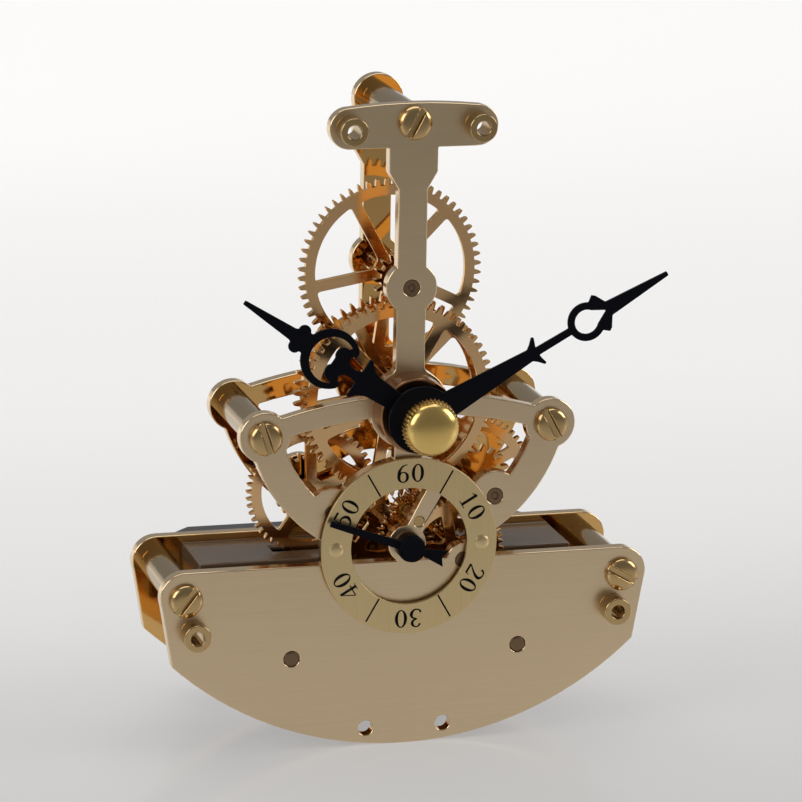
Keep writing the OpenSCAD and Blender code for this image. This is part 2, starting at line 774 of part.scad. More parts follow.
// Battery box behind the rear plate, open at the back, with its back corners cut off
cell_z = box_top - box_wall - cell_r - end_play;
box_bottom = cell_z - cell_r - end_play - box_wall;
cell_depth = rear_out + box_wall + cell_r + end_play;
contact_t = 0.4;
contact_reach = 1.6;
button_l = 1.3;
bay_half = cell_l / 2 + button_l / 2 + contact_reach + contact_t;
module battery_box()
  color("black") difference() {
    translate([0, -mid_depth, box_bottom]) linear_extrude(box_top - box_bottom) polygon([
      [-box_half, rear_out], [box_half, rear_out], [box_half, box_back - box_chamfer],
      [box_half - box_chamfer, box_back], [-box_half + box_chamfer, box_back],
      [-box_half, box_back - box_chamfer]
    ]);
    slab(rear_out + box_wall, box_back + 1)
      translate([-bay_half, cell_z - cell_r - end_play]) square([2 * bay_half, 2 * (cell_r + end_play)]);
  }

module battery_cell()
  color("darkgray") translate([-(cell_l + button_l) / 2, cell_depth - mid_depth, cell_z]) rotate([0, 90, 0]) {
    cylinder(r = cell_r, h = cell_l);
    cylinder(r = cell_r / 2.6, h = cell_l + button_l);
  }

// Leaf contacts at both ends of the battery bay
module battery_contacts()
  color("silver") for (side = [-1, 1])
    translate([side * bay_half, cell_depth - mid_depth, cell_z]) rotate([0, -90 * side, 0]) {
      translate([-cell_r * 0.8, -cell_r * 0.6, 0]) cube([cell_r * 1.6, cell_r * 1.2, contact_t]);
      cylinder(r1 = cell_r / 2, r2 = cell_r / 4, h = contact_t + contact_reach - 0.05);
    }

// Drive arbor, turned by the rotor
module drive_arbor() arbor(DRIVE);
module drive_wheel()
  wheel(DRIVE, drive_level, drive_n, rotor_module, drive_phase, 5, 20, arbor_r + fit, wheel_hub_r);
module drive_pinion()
  pinion(DRIVE, seconds_level, drive_pinion_n, drive_seconds_m, 0, arbor_r + fit);

// Seconds arbor, which passes through the front plate to the second hand
second_hand_back = -dial_gap - dial_t - 1.2;
module seconds_arbor()
  color("goldenrod") {
    bar(SECONDS, second_hand_back - hand_t, rear_in - end_play, arbor_r);
    bar(SECONDS, rear_in - end_play, rear_out - 0.2, pivot_r);
  }
module seconds_wheel()
  wheel(SECONDS, seconds_level, seconds_n, drive_seconds_m, seconds_phase, 5, 90, arbor_r + fit, wheel_hub_r);
module seconds_pinion()
  pinion(SECONDS, reverse_level, seconds_pinion_n, reverse_module, 0, arbor_r + fit);

// Second hand with a round hub under a cap, a slim pointer and a fish tail
second_cap_h = 0.8;
module second_hand() {
  front = second_hand_back - hand_t;
  tail = second_l * 0.42;
  color("black") on_axis(SECONDS, second_angle) {
    difference() {
      slabs(front, second_hand_back) {
        circle(second_hub_r);
        polygon([
          [-0.8, 0], [-0.55, second_l], [0.55, second_l], [0.8, 0], [0.7, -second_hub_r], [1.5, -tail],
          [0, -tail + 0.7], [-1.5, -tail], [-0.7, -second_hub_r]
        ]);
      }
      bar([0, 0], front - 1, second_hand_back + 1, arbor_r + fit);
    }
    bar([0, 0], front - second_cap_h, front, second_hub_r - 0.2);
  }
}

module fourth_arbor() arbor(FOURTH);
module fourth_wheel()
  wheel(FOURTH, fourth_level, fourth_n, reverse_module, fourth_phase, 5, 30, arbor_r + fit, wheel_hub_r);
module fourth_pinion()
  pinion(FOURTH, third_level, fourth_pinion_n, fourth_third_m, 0, arbor_r + fit);

module third_arbor() arbor(THIRD);
module third_wheel()
  wheel(THIRD, third_level, third_n, fourth_third_m, third_phase, 5, 28, arbor_r + fit, wheel_hub_r);
module third_pinion()
  pinion(THIRD, centre_level, third_pinion_n, third_centre_m, 0, arbor_r + fit);

// Centre arbor: carries the minute hand in front and the setting knob at the back
module centre_arbor()
  color("goldenrod") {
    bar(HAND, nut_bore, rear_out + end_play + knob_l * 0.6, centre_r);
    tube(HAND, minute_hand_back, minute_hand_back + arbor_collar, centre_r + 0.7, centre_r - fit);
  }
module centre_wheel()
  wheel(HAND, centre_level, centre_n, third_centre_m, centre_phase, 5, 45, centre_r + fit, wheel_hub_r + 1.5);
module cannon_pinion()
  pinion(HAND, motion_level, cannon_n, cannon_motion_m, 0, centre_r + fit);

// Closed outline from the right half of a hand, listed from its hub to its tip
function both_sides(half) =
  concat(half, [for (i = [len(half) - 1:-1:0]) [-half[i][0], half[i][1]]]);

// Minute hand: tapering blade, a pair of thorns, a slim stem, an open drop with two horns and a pointer
module minute_hand() {
  thorn = minute_l * 0.46;
  drop = minute_l * 0.668;
  drop_r = 3.5;
  drop_w = 1.3;
  horn = drop + drop_r * 0.85;
  color("black") on_axis(HAND, minute_angle) difference() {
    slabs(minute_hand_front, minute_hand_back) {
      circle(minute_hub_r);
      polygon(both_sides([
        [2.6, minute_hub_r / 2], [1.15, thorn - 1.2], [1.7, thorn - 0.5], [2.8, thorn + 0.5],
        [2.6, thorn + 0.9], [1.3, thorn + 0.5], [0.75, thorn + 0.4], [0.65, drop - drop_r + drop_w]
      ]));
      translate([0, drop]) circle(drop_r);
      polygon(both_sides([
        [drop_r * 0.75, drop + drop_r * 0.45], [drop_r * 1.08, horn], [drop_r * 0.95, horn + 0.6],
        [1.4, horn + 1.7], [0.4, minute_l]
      ]));
    }
    slabs(minute_hand_front - 1, minute_hand_back + 1) {
      circle(centre_r + fit);
      translate([0, drop]) circle(drop_r - drop_w);
      polygon(both_sides([[(drop_r - drop_w) * 0.8, drop + (drop_r - drop_w) * 0.5], [0.1, horn + 1]]));
    }
  }
}

// Hand nut: a neck on the minute hand, a knurled rim and a domed face
knurls = 42;
knurl_h = 0.3;
nut_rim_back = minute_hand_front - nut_l * 0.53;
nut_rim_front = minute_hand_front - nut_l * 0.76;
nut_bore = minute_hand_front - nut_l * 0.6;
module knurled(r, count)
  polygon([for (i = [0:2 * count - 1])
    let (a = 180 * i / count, s = i % 2 == 0 ? r : r - knurl_h) s * [cos(a), sin(a)]]);
module hand_nut() {
  dome_h = nut_rim_front - nut_front;
  color("gold") difference() {
    union() {
      slab(nut_rim_front, nut_rim_back) translate(HAND) knurled(nut_r, knurls);
      turned(HAND, [
        [0, minute_hand_front], [nut_r * 0.6, minute_hand_front], [nut_r * 0.6, nut_rim_back - dome_h / 2],
        [nut_r * 0.87, nut_rim_back - dome_h / 2], [nut_r * 0.87, nut_rim_front],
        [nut_r * 0.8, nut_rim_front - dome_h * 0.42], [nut_r * 0.64, nut_rim_front - dome_h * 0.72],
        [nut_r * 0.36, nut_rim_front - dome_h * 0.93], [0, nut_front]
      ]);
    }
    bar(HAND, nut_bore, minute_hand_front + 1, centre_r + fit);
  }
}
module setting_knob()
  color("black") difference() {
    slab(rear_out + end_play, rear_out + end_play + knob_l) translate(HAND) knurled(knob_r, knurls);
    bar(HAND, rear_out, rear_out + end_play + knob_l * 0.6, centre_r + fit);
  }

// Motion work: a wheel driven by the cannon pinion, with a pinion that drives the hour wheel.
// The wheel is riveted to a long leaved hub behind it.
motion_tail_n = 10;
motion_tail_l = 5.5;
module motion_arbor() arbor(MOTION);
module motion_wheel()
  wheel(MOTION, motion_level, motion_n, cannon_motion_m, motion_phase, 5, 190, arbor_r + fit,
        wheel_hub_r + 0.6);
module motion_pinion() {
  tail_level = motion_level + wheel_t / 2 + motion_tail_l / 2;
  pinion(MOTION, hour_level, motion_pinion_n, motion_hour_m, 0, arbor_r + fit);
  pinion(MOTION, tail_level, motion_tail_n, motion_hour_m, 0, arbor_r + fit, motion_tail_l);
}

// Hour wheel on its pipe, which runs in the boss and around the centre arbor
module hour_wheel()
  wheel(HAND, hour_level, hour_n, motion_hour_m, hour_phase, 5, 60, pipe_r + fit, pipe_r + 2);
module hour_pipe()
  color("goldenrod") {
    tube(HAND, pipe_front, front_in + hour_level + wheel_t / 2, pipe_r, centre_r + running);
    tube(HAND, hour_hand_back, hour_hand_back + pipe_collar, pipe_r + 0.8, pipe_r - fit);
  }

// Hour hand: neck, barbs, two leaves inside an open ring, a collar and a pointer
module hour_hand() {
  barb = hour_l * 0.353;
  ring = hour_l * 0.515;
  ring_r = 5.4;
  bore = ring - 0.4;
  bore_r = ring_r - 1.25;
  leaf = bore - 1.3;
  leaf_r = 1.45;
  leaf_x = leaf_r * 1.2;
  collar = hour_l * 0.688;
  collar_r = 1.15;
  collar_x = collar_r * 1.35;
  color("black") on_axis(HAND, hour_angle) difference() {
    slabs(hour_hand_front, hour_hand_back) {
      circle(hour_hub_r);
      polygon(both_sides([
        [1.7, hour_hub_r / 2], [1.75, hour_hub_r], [2.1, barb - 3.2], [2.5, barb - 2], [3.2, barb - 1.1],
        [3.85, barb - 0.6], [3.85, barb], [1.1, barb], [0.8, barb + 1.4], [1, barb + 2.5], [1.7, barb + 3.5],
        [0.8, leaf + 1]
      ]));
      difference() {
        translate([0, ring]) circle(ring_r);
        translate([0, bore]) circle(bore_r);
        translate([-ring_r, ring - 2 * ring_r]) square([2 * ring_r, barb + 2.35 - ring + 2 * ring_r]);
      }
      holes([[-leaf_x, leaf], [leaf_x, leaf]], leaf_r);
      for (side = [-1, 1])
        translate([side * leaf_r * 2, leaf - leaf_r * 0.75]) rotate(45) square(leaf_r, center = true);
      holes([[-collar_x, collar], [collar_x, collar]], collar_r);
      polygon(both_sides([[2, ring + ring_r - 1], [1.8, collar], [1.15, collar + 1.6], [0.4, hour_l]]));
    }
    bar([0, 0], hour_hand_front - 1, hour_hand_back + 1, pipe_r + fit);
  }
}

front_plate();
rear_plate();
top_pillar();
left_ear_pillar();
right_ear_pillar();
left_base_pillar();
right_base_pillar();
front_screws();
rear_screws();
tee_standoffs();
base_standoffs();
front_bushes();
rear_bushes();
hand_boss();
seconds_dial();
dial_rivets();
reverse_stud();
reverse_clip();
motor_case();
motor_lid();
stator();
coil();
circuit_board();
battery_box();
battery_cell();
battery_contacts();
rotor_shaft();
rotor_magnet();
drive_arbor();
drive_wheel();
drive_pinion();
seconds_arbor();
seconds_wheel();
seconds_pinion();
second_hand();
reverse_pinion();
fourth_arbor();
fourth_wheel();
fourth_pinion();
third_arbor();
third_wheel();
third_pinion();
centre_arbor();
centre_wheel();
cannon_pinion();
minute_hand();
hand_nut();
setting_knob();
motion_arbor();
motion_wheel();
motion_pinion();
hour_wheel();
hour_pipe();
hour_hand();
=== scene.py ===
"""Finish of a gold skeleton clock movement: satin plates, polished wheels, black hands and a seconds dial.

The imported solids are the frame. Most of them show as copies with rounded corners. Wheels and pinions are
built from their outlines, and the turned, printed and wound pieces are surfaces that are worked out on grids.
Everything is in metres, in the frame of the solids.
"""

import json
import math

import bmesh
import bpy
import numpy as np
from mathutils import Matrix, Vector
from mathutils.geometry import delaunay_2d_cdt

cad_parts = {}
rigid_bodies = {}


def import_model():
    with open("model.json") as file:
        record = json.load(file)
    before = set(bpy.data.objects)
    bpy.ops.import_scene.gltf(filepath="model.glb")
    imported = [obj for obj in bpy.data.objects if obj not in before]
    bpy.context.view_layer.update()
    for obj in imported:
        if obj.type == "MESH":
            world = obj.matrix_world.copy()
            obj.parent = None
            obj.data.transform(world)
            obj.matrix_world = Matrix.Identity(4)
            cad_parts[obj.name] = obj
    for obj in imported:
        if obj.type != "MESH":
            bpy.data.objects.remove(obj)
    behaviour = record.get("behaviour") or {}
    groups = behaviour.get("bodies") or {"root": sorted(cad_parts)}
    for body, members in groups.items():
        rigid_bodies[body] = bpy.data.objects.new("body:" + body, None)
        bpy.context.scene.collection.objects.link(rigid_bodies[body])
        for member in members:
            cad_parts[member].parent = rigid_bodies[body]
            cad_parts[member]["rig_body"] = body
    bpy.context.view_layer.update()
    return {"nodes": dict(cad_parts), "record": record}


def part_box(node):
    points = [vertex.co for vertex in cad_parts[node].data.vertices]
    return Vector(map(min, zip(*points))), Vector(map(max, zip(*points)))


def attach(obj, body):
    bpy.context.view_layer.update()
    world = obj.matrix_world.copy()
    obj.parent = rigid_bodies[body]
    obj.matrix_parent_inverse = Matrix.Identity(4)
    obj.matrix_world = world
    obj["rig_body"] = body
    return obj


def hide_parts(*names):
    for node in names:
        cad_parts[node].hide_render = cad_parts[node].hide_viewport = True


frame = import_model()
MM = 0.001
SLOTS = {s["node"]: s["material_slot"] for s in frame["record"]["subparts"]}

# Node groups and materials


def link(tree, source, target):
    """Joins an output socket to an input socket."""
    tree.links.new(source, target)


def new_group(name, inputs, outputs):
    """Empty shader group with named inputs (name, kind, default) and outputs (name, kind)."""
    group = bpy.data.node_groups.new(name, "ShaderNodeTree")
    for label, kind, default in inputs:
        socket = group.interface.new_socket(label, in_out="INPUT", socket_type="NodeSocket" + kind)
        if default is not None:
            socket.default_value = default
    for label, kind in outputs:
        group.interface.new_socket(label, in_out="OUTPUT", socket_type="NodeSocket" + kind)
    return group, group.nodes.new("NodeGroupInput"), group.nodes.new("NodeGroupOutput")


def math_node(tree, operation, first, second=None):
    """Result of a math node on one or two values, each a number or a socket."""
    node = tree.nodes.new("ShaderNodeMath")
    node.operation = operation
    for socket, value in zip(node.inputs, (first, second)):
        if isinstance(value, (int, float)):
            socket.default_value = value
        elif value is not None:
            link(tree, value, socket)
    return node.outputs[0]


def noise_node(tree, vector, scale, detail):
    """Noise of a scale and a detail at a place."""
    node = tree.nodes.new("ShaderNodeTexNoise")
    node.inputs["Detail"].default_value = detail
    node.inputs["Scale"].default_value = scale
    link(tree, vector, node.inputs["Vector"])
    return node.outputs["Fac"]


def make_brushed():
    """Fine parallel lines: noise on coordinates that a vector stretches, so that it is long one way."""
    group, given, out = new_group(
        "brushed_lines",
        [("Vector", "Vector", None), ("Stretch", "Vector", (1.0, 1.0, 1.0))],
        [("Lines", "Float"), ("Patches", "Float")],
    )
    stretched = group.nodes.new("ShaderNodeVectorMath")
    stretched.operation = "MULTIPLY"
    link(group, given.outputs["Vector"], stretched.inputs[0])
    link(group, given.outputs["Stretch"], stretched.inputs[1])
    link(group, noise_node(group, stretched.outputs[0], scale=1.0, detail=4.0), out.inputs["Lines"])
    link(group, noise_node(group, given.outputs["Vector"], scale=90.0, detail=3.0), out.inputs["Patches"])
    return group


def make_turned():
    """Lathe marks: noise of the distance from an axis along the depth, which makes rings round that axis."""
    group, given, out = new_group(
        "turned_rings",
        [("Vector", "Vector", None), ("Axis", "Vector", (0.0, 0.0, 0.0)), ("Rings", "Float", 4000.0)],
        [("Marks", "Float"), ("Patches", "Float")],
    )
    offset = group.nodes.new("ShaderNodeVectorMath")
    offset.operation = "SUBTRACT"
    link(group, given.outputs["Vector"], offset.inputs[0])
    link(group, given.outputs["Axis"], offset.inputs[1])
    flat = group.nodes.new("ShaderNodeVectorMath")
    flat.operation = "MULTIPLY"
    flat.inputs[1].default_value = (1.0, 0.0, 1.0)
    link(group, offset.outputs[0], flat.inputs[0])
    length = group.nodes.new("ShaderNodeVectorMath")
    length.operation = "LENGTH"
    link(group, flat.outputs[0], length.inputs[0])
    rings = group.nodes.new("ShaderNodeTexNoise")
    rings.noise_dimensions = "1D"
    rings.inputs["Scale"].default_value = 1.0
    rings.inputs["Detail"].default_value = 3.0
    spot = math_node(group, "MULTIPLY", length.outputs["Value"], given.outputs["Rings"])
    link(group, spot, rings.inputs["W"])
    link(group, rings.outputs["Fac"], out.inputs["Marks"])
    link(group, noise_node(group, given.outputs["Vector"], scale=160.0, detail=3.0), out.inputs["Patches"])
    return group


def make_handled():
    """Handling marks: broad soft smudges and small specks, as two masks."""
    group, given, out = new_group(
        "handling_marks", [("Vector", "Vector", None)], [("Smudges", "Float"), ("Specks", "Float")]
    )
    link(group, noise_node(group, given.outputs["Vector"], scale=55.0, detail=5.0), out.inputs["Smudges"])
    specks = noise_node(group, given.outputs["Vector"], scale=2600.0, detail=2.0)
    span = group.nodes.new("ShaderNodeMapRange")
    span.inputs["From Min"].default_value = 0.62
    span.inputs["From Max"].default_value = 0.75
    link(group, specks, span.inputs["Value"])
    link(group, span.outputs[0], out.inputs["Specks"])
    return group


BRUSHED = make_brushed()
TURNED = make_turned()
HANDLED = make_handled()


def material_base(name):
    """New material with its Principled shader and an Object coordinate."""
    material = bpy.data.materials.new(name)
    material.use_nodes = True
    tree = material.node_tree
    shader = tree.nodes["Principled BSDF"]
    coordinate = tree.nodes.new("ShaderNodeTexCoord").outputs["Object"]
    return material, tree, shader, coordinate


# Usual range of the noise
NOISE_LOW = 0.25
NOISE_HIGH = 0.75


def spread(tree, value, low, high):
    """A value in the noise's usual range mapped on to low to high."""
    node = tree.nodes.new("ShaderNodeMapRange")
    node.inputs["From Min"].default_value = NOISE_LOW
    node.inputs["From Max"].default_value = NOISE_HIGH
    node.inputs["To Min"].default_value = low
    node.inputs["To Max"].default_value = high
    link(tree, value, node.inputs["Value"])
    return node.outputs[0]


def two_tone(tree, value, dark, light):
    """Colour between two tones by a value in the noise's usual range."""
    ramp = tree.nodes.new("ShaderNodeValToRGB")
    ramp.color_ramp.elements[0].position = NOISE_LOW
    ramp.color_ramp.elements[0].color = (*dark, 1.0)
    ramp.color_ramp.elements[1].position = NOISE_HIGH
    ramp.color_ramp.elements[1].color = (*light, 1.0)
    link(tree, value, ramp.inputs["Fac"])
    return ramp.outputs["Color"]


def blend(tree, first, second, share):
    """Mix of two values, with a share of the first."""
    return math_node(tree, "ADD", math_node(tree, "MULTIPLY", first, share),
                     math_node(tree, "MULTIPLY", second, 1.0 - share))


def bump(tree, shader, height, strength, distance):
    """Gives a shader the relief of a height."""
    node = tree.nodes.new("ShaderNodeBump")
    node.inputs["Strength"].default_value = strength
    node.inputs["Distance"].default_value = distance
    link(tree, height, node.inputs["Height"])
    link(tree, node.outputs["Normal"], shader.inputs["Normal"])


def place_group(tree, group, coordinate, **values):
    """Node of a group at a coordinate, with values for its other inputs."""
    node = tree.nodes.new("ShaderNodeGroup")
    node.node_tree = group
    link(tree, coordinate, node.inputs["Vector"])
    for label, value in values.items():
        node.inputs[label].default_value = value
    return node


# Depth of brushed lines and lathe marks, and of the specks in a moulded skin
LINE_DEPTH = 0.02 * MM
SKIN_DEPTH = 0.03 * MM


def brushed_metal(name, dark, light, roughness, stretch, relief):
    """Metal with brushed lines: tone and gloss follow lines and smudges, and the relief follows the lines."""
    material, tree, shader, coordinate = material_base(name)
    marks = place_group(tree, BRUSHED, coordinate, Stretch=stretch)
    handled = place_group(tree, HANDLED, coordinate)
    shader.inputs["Metallic"].default_value = 1.0
    mixed = blend(tree, marks.outputs["Lines"], handled.outputs["Smudges"], share=0.6)
    link(tree, two_tone(tree, mixed, dark, light), shader.inputs["Base Color"])
    link(tree, spread(tree, mixed, *roughness), shader.inputs["Roughness"])
    bump(tree, shader, marks.outputs["Lines"], relief, LINE_DEPTH)
    return material


def turned_metal(name, dark, light, roughness, axis, rings, relief):
    """Metal with lathe rings round an axis along the depth."""
    material, tree, shader, coordinate = material_base(name)
    marks = place_group(tree, TURNED, coordinate, Axis=axis, Rings=rings)
    shader.inputs["Metallic"].default_value = 1.0
    mixed = blend(tree, marks.outputs["Marks"], marks.outputs["Patches"], share=0.5)
    link(tree, two_tone(tree, mixed, dark, light), shader.inputs["Base Color"])
    link(tree, spread(tree, mixed, *roughness), shader.inputs["Roughness"])
    bump(tree, shader, marks.outputs["Marks"], relief, LINE_DEPTH)
    return material


def moulded(name, dark, light, roughness, metallic=0.0, relief=0.3):
    """Moulded or painted surface: a fine skin of specks with smudges in tone and gloss."""
    material, tree, shader, coordinate = material_base(name)
    handled = place_group(tree, HANDLED, coordinate)
    shader.inputs["Metallic"].default_value = metallic
    link(tree, two_tone(tree, handled.outputs["Smudges"], dark, light), shader.inputs["Base Color"])
    link(tree, spread(tree, handled.outputs["Smudges"], *roughness), shader.inputs["Roughness"])
    bump(tree, shader, handled.outputs["Specks"], relief, SKIN_DEPTH)
    return material


# How brushed lines are stretched: along the width, round an axis along the depth, and upright
ACROSS = (60.0, 900.0, 5200.0)
AROUND = (150.0, 5200.0, 150.0)
UPRIGHT = (4200.0, 900.0, 60.0)
HAND_AXIS = tuple((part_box("hand_nut")[0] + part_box("hand_nut")[1]) / 2.0)
satin_gold = brushed_metal(
    "satin_gold", (0.683, 0.527, 0.333), (0.76, 0.59, 0.379), (0.27, 0.34), ACROSS, 0.06
)
edge_gold = brushed_metal("edge_gold", (0.80, 0.60, 0.36), (0.86, 0.66, 0.41), (0.12, 0.2), ACROSS, 0.03)
polished_gold = brushed_metal(
    "polished_gold", (0.72, 0.43, 0.15), (0.78, 0.475, 0.175), (0.04, 0.09), ACROSS, 0.01
)
# The pillars' gold is darker than the plates': painted shade of the dim space between the plates
pillar_gold = brushed_metal("pillar_gold", (0.44, 0.33, 0.19), (0.5, 0.375, 0.22), (0.12, 0.2), AROUND, 0.12)
wheel_gold = brushed_metal("wheel_gold", (0.76, 0.48, 0.235), (0.84, 0.54, 0.27), (0.12, 0.2), ACROSS, 0.05)
dial_gold = brushed_metal("dial_gold", (0.66, 0.5, 0.255), (0.74, 0.565, 0.3), (0.32, 0.40), UPRIGHT, 0.03)
screw_brass = brushed_metal(
    "screw_brass", (0.49, 0.335, 0.155), (0.56, 0.39, 0.185), (0.16, 0.26), AROUND, 0.06
)
nut_brass = turned_metal(
    "nut_brass", (0.70, 0.48, 0.15), (0.80, 0.56, 0.195), (0.20, 0.28), HAND_AXIS, 9000.0, 0.05
)
# The boss's gold is darker and redder than the rest: painted shade on the boss at the hub
boss_gold_painted_shade = turned_metal(
    "boss_gold_painted_shade", (0.32, 0.155, 0.07), (0.4, 0.205, 0.095), (0.16, 0.26), HAND_AXIS, 7000.0, 0.05
)
bush_bronze = moulded("bush_bronze", (0.16, 0.10, 0.06), (0.26, 0.17, 0.10), (0.30, 0.42), 1.0, 0.1)
black_lacquer = moulded(
    "black_lacquer", (0.003, 0.0035, 0.006), (0.006, 0.0065, 0.01), (0.40, 0.52), 0.0, 0.1
)
dial_ink = moulded("dial_ink", (0.004, 0.0035, 0.003), (0.009, 0.008, 0.007), (0.5, 0.62), 0.0, 0.1)
for dark_paint in (black_lacquer, dial_ink):
    dark_paint.node_tree.nodes["Principled BSDF"].inputs["Specular IOR Level"].default_value = 0.06
bright_steel = brushed_metal("bright_steel", (0.34, 0.33, 0.32), (0.44, 0.43, 0.41), (0.2, 0.3), AROUND, 0.08)
magnet_black = moulded("magnet_black", (0.06, 0.06, 0.065), (0.1, 0.1, 0.105), (0.4, 0.55), 0.6, 0.4)
copper_wire = brushed_metal("copper_wire", (0.50, 0.20, 0.08), (0.62, 0.28, 0.12), (0.25, 0.35), UPRIGHT, 0.4)
board_green = moulded("board_green", (0.03, 0.12, 0.05), (0.05, 0.18, 0.08), (0.35, 0.5), 0.0, 0.2)
# The motor's dark plastic is tinted brown: a painted reflection of the brass round it
motor_painted_brass_reflection = moulded("motor_painted_brass_reflection", (0.095, 0.06, 0.035), (0.135, 0.09, 0.056), (0.14, 0.22), 0.0, 0.5)
box_black = moulded("box_black", (0.03, 0.03, 0.034), (0.048, 0.048, 0.052), (0.38, 0.52), 0.0, 0.6)
cell_jacket = moulded("cell_jacket", (0.16, 0.17, 0.19), (0.22, 0.23, 0.25), (0.22, 0.32), 0.3, 0.1)

FINISHES = {
    "plate_gold": satin_gold,
    "pillar_gold": pillar_gold,
    "wheel_gold": wheel_gold,
    "yellow_brass": screw_brass,
    "bush_bronze": bush_bronze,
    "dial_face": dial_gold,
    "hand_black": black_lacquer,
    "steel": bright_steel,
    "magnet": magnet_black,
    "coil_wire": copper_wire,
    "board": board_green,
    "motor_plastic": motor_painted_brass_reflection,
    "box_plastic": box_black,
    "cell_jacket": cell_jacket,
}

# Pieces


def body_of_node(node):
    """Body that a CAD node belongs to."""
    return frame["nodes"][node]["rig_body"]


def add_piece(name, mesh, body, materials):
    """Puts a finished mesh into the scene, riding on a body."""
    piece = bpy.data.objects.new(name, mesh)
    bpy.context.scene.collection.objects.link(piece)
    mesh.materials.clear()
    for material in materials:
        mesh.materials.append(material)
    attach(piece, body)
    return piece


def smooth_by_angle(mesh, degrees):
    """Smooth shading, except where faces meet at more than an angle."""
    mesh.shade_smooth()
    mesh.set_sharp_from_angle(angle=math.radians(degrees))


# Least turn of a corner and most turn within one flat face, in degrees
CORNER = 32.0
FLAT = 0.5
# Points of a CAD node nearer than this are one
WELD = 0.002 * MM
# Share of a face's normal along the depth above which it is a front or back face
FACING = 0.7


def round_corners(piece, width, segments, limit="ANGLE"):
    """Rounds each corner that is sharper than the angle, or that has a weight, to a width in millimetres."""
    rounding = piece.modifiers.new("corners", "BEVEL")
    rounding.width = width * MM
    rounding.segments = segments
    rounding.limit_method = limit
    rounding.angle_limit = math.radians(CORNER)
    rounding.use_clamp_overlap = False
    rounding.miter_outer = "MITER_ARC"
    rounding.harden_normals = True


def rounded_copy(node, width, segments=2, edge=None, polished=None, finish=None, whole_faces=True,
                 hollows=True):
    """Copy of a CAD node with rounded corners. With an edge and a polished finish, the faces that look
    sideways get the one and the faces on the inner side get the other, as those of a plate with one satin
    side do. Triangles of one flat face are joined, but not on a piece whose faces go round an opening.
    Hollow corners stay sharp where rounding would fill the bottom of a bore."""
    mesh = frame["nodes"][node].data.copy()
    mesh.name = node + "_rounded"
    if "custom_normal" in mesh.attributes:
        mesh.attributes.remove(mesh.attributes["custom_normal"])
    work = bmesh.new()
    work.from_mesh(mesh)
    bmesh.ops.remove_doubles(work, verts=work.verts, dist=WELD)
    if whole_faces:
        bmesh.ops.dissolve_limit(work, angle_limit=math.radians(FLAT), verts=work.verts, edges=work.edges)
    if not hollows:
        work.normal_update()
        weight = work.edges.layers.float.new("bevel_weight_edge")
        for line in work.edges:
            line[weight] = float(line.is_convex and line.calc_face_angle(0.0) > math.radians(CORNER))
    work.to_mesh(mesh)
    work.free()
    slot = SLOTS[node]
    materials = [finish or FINISHES[slot]]
    if polished is not None:
        materials += [edge, polished]
    piece = add_piece(node + "_rounded", mesh, body_of_node(node), materials)
    mesh.polygons.foreach_set("material_index", np.zeros(len(mesh.polygons), np.int32))
    if polished is not None:
        normals = np.zeros(3 * len(mesh.polygons))
        mesh.polygons.foreach_get("normal", normals)
        inward = inner_side(node) * normals.reshape(-1, 3)[:, 1]
        sides = np.digitize(inward, (-FACING, FACING))
        mesh.polygons.foreach_set("material_index", sides.astype(np.int32))
    smooth_by_angle(mesh, CORNER)
    round_corners(piece, width, segments, "ANGLE" if hollows else "WEIGHT")
    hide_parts(node)
    return piece


def face_middles(mesh):
    """Middle of each face."""
    middles = np.zeros(3 * len(mesh.polygons))
    mesh.polygons.foreach_get("center", middles)
    return middles.reshape(-1, 3)


def inner_side(node):
    """Which way along the depth the polished side of a piece looks: the rear plate's is its front."""
    return -1.0 if node == "rear_plate" else 1.0


def area(loop):
    """Area inside a loop, positive when the way round is anticlockwise."""
    following = np.roll(loop, -1, 0)
    return 0.5 * np.sum(loop[:, 0] * following[:, 1] - following[:, 0] * loop[:, 1])


# Least area of a loop that counts, and least share of the depth in the normal of a cap
SLIVER = 0.05 * MM ** 2
SQUARE_ON = 0.99


def prisms(node):
    """The prisms that a CAD node is made of: for each, its front depth, its back depth and the loops round
    its front face, as points (x, z) with the metal on the left of the way round. Loops round a sliver between
    two triangles are left out."""
    work = bmesh.new()
    work.from_mesh(frame["nodes"][node].data)
    bmesh.ops.remove_doubles(work, verts=work.verts, dist=WELD)
    work.normal_update()
    # A dictionary keeps the order of the faces, so that each run gives the same mesh
    steps = {(corner.vert, corner.link_loop_next.vert): True for face in work.faces
             if face.normal.y < -SQUARE_ON for corner in face.loops}
    ahead = {start: end for start, end in steps if (end, start) not in steps}
    backs = sorted({round(face.verts[0].co.y, 6) for face in work.faces if face.normal.y > SQUARE_ON})
    fronts = {}
    while ahead:
        first, spot = ahead.popitem()
        loop = [first]
        while spot is not first:
            loop.append(spot)
            spot = ahead.pop(spot)
        outline = np.array([(vert.co.x, vert.co.z) for vert in loop])
        if abs(area(outline)) > SLIVER:
            fronts.setdefault(round(first.co.y, 6), []).append(outline)
    work.free()
    return [(front, min(back for back in backs if back > front), loops)
            for front, loops in sorted(fronts.items())]


# Least turn of a window's corner in degrees, most reach as a share of the way to the next corner, and points
# on a rounded corner
WINDOW_CORNER = 35.0
MOST_REACH = 0.4
CURVE_POINTS = 8


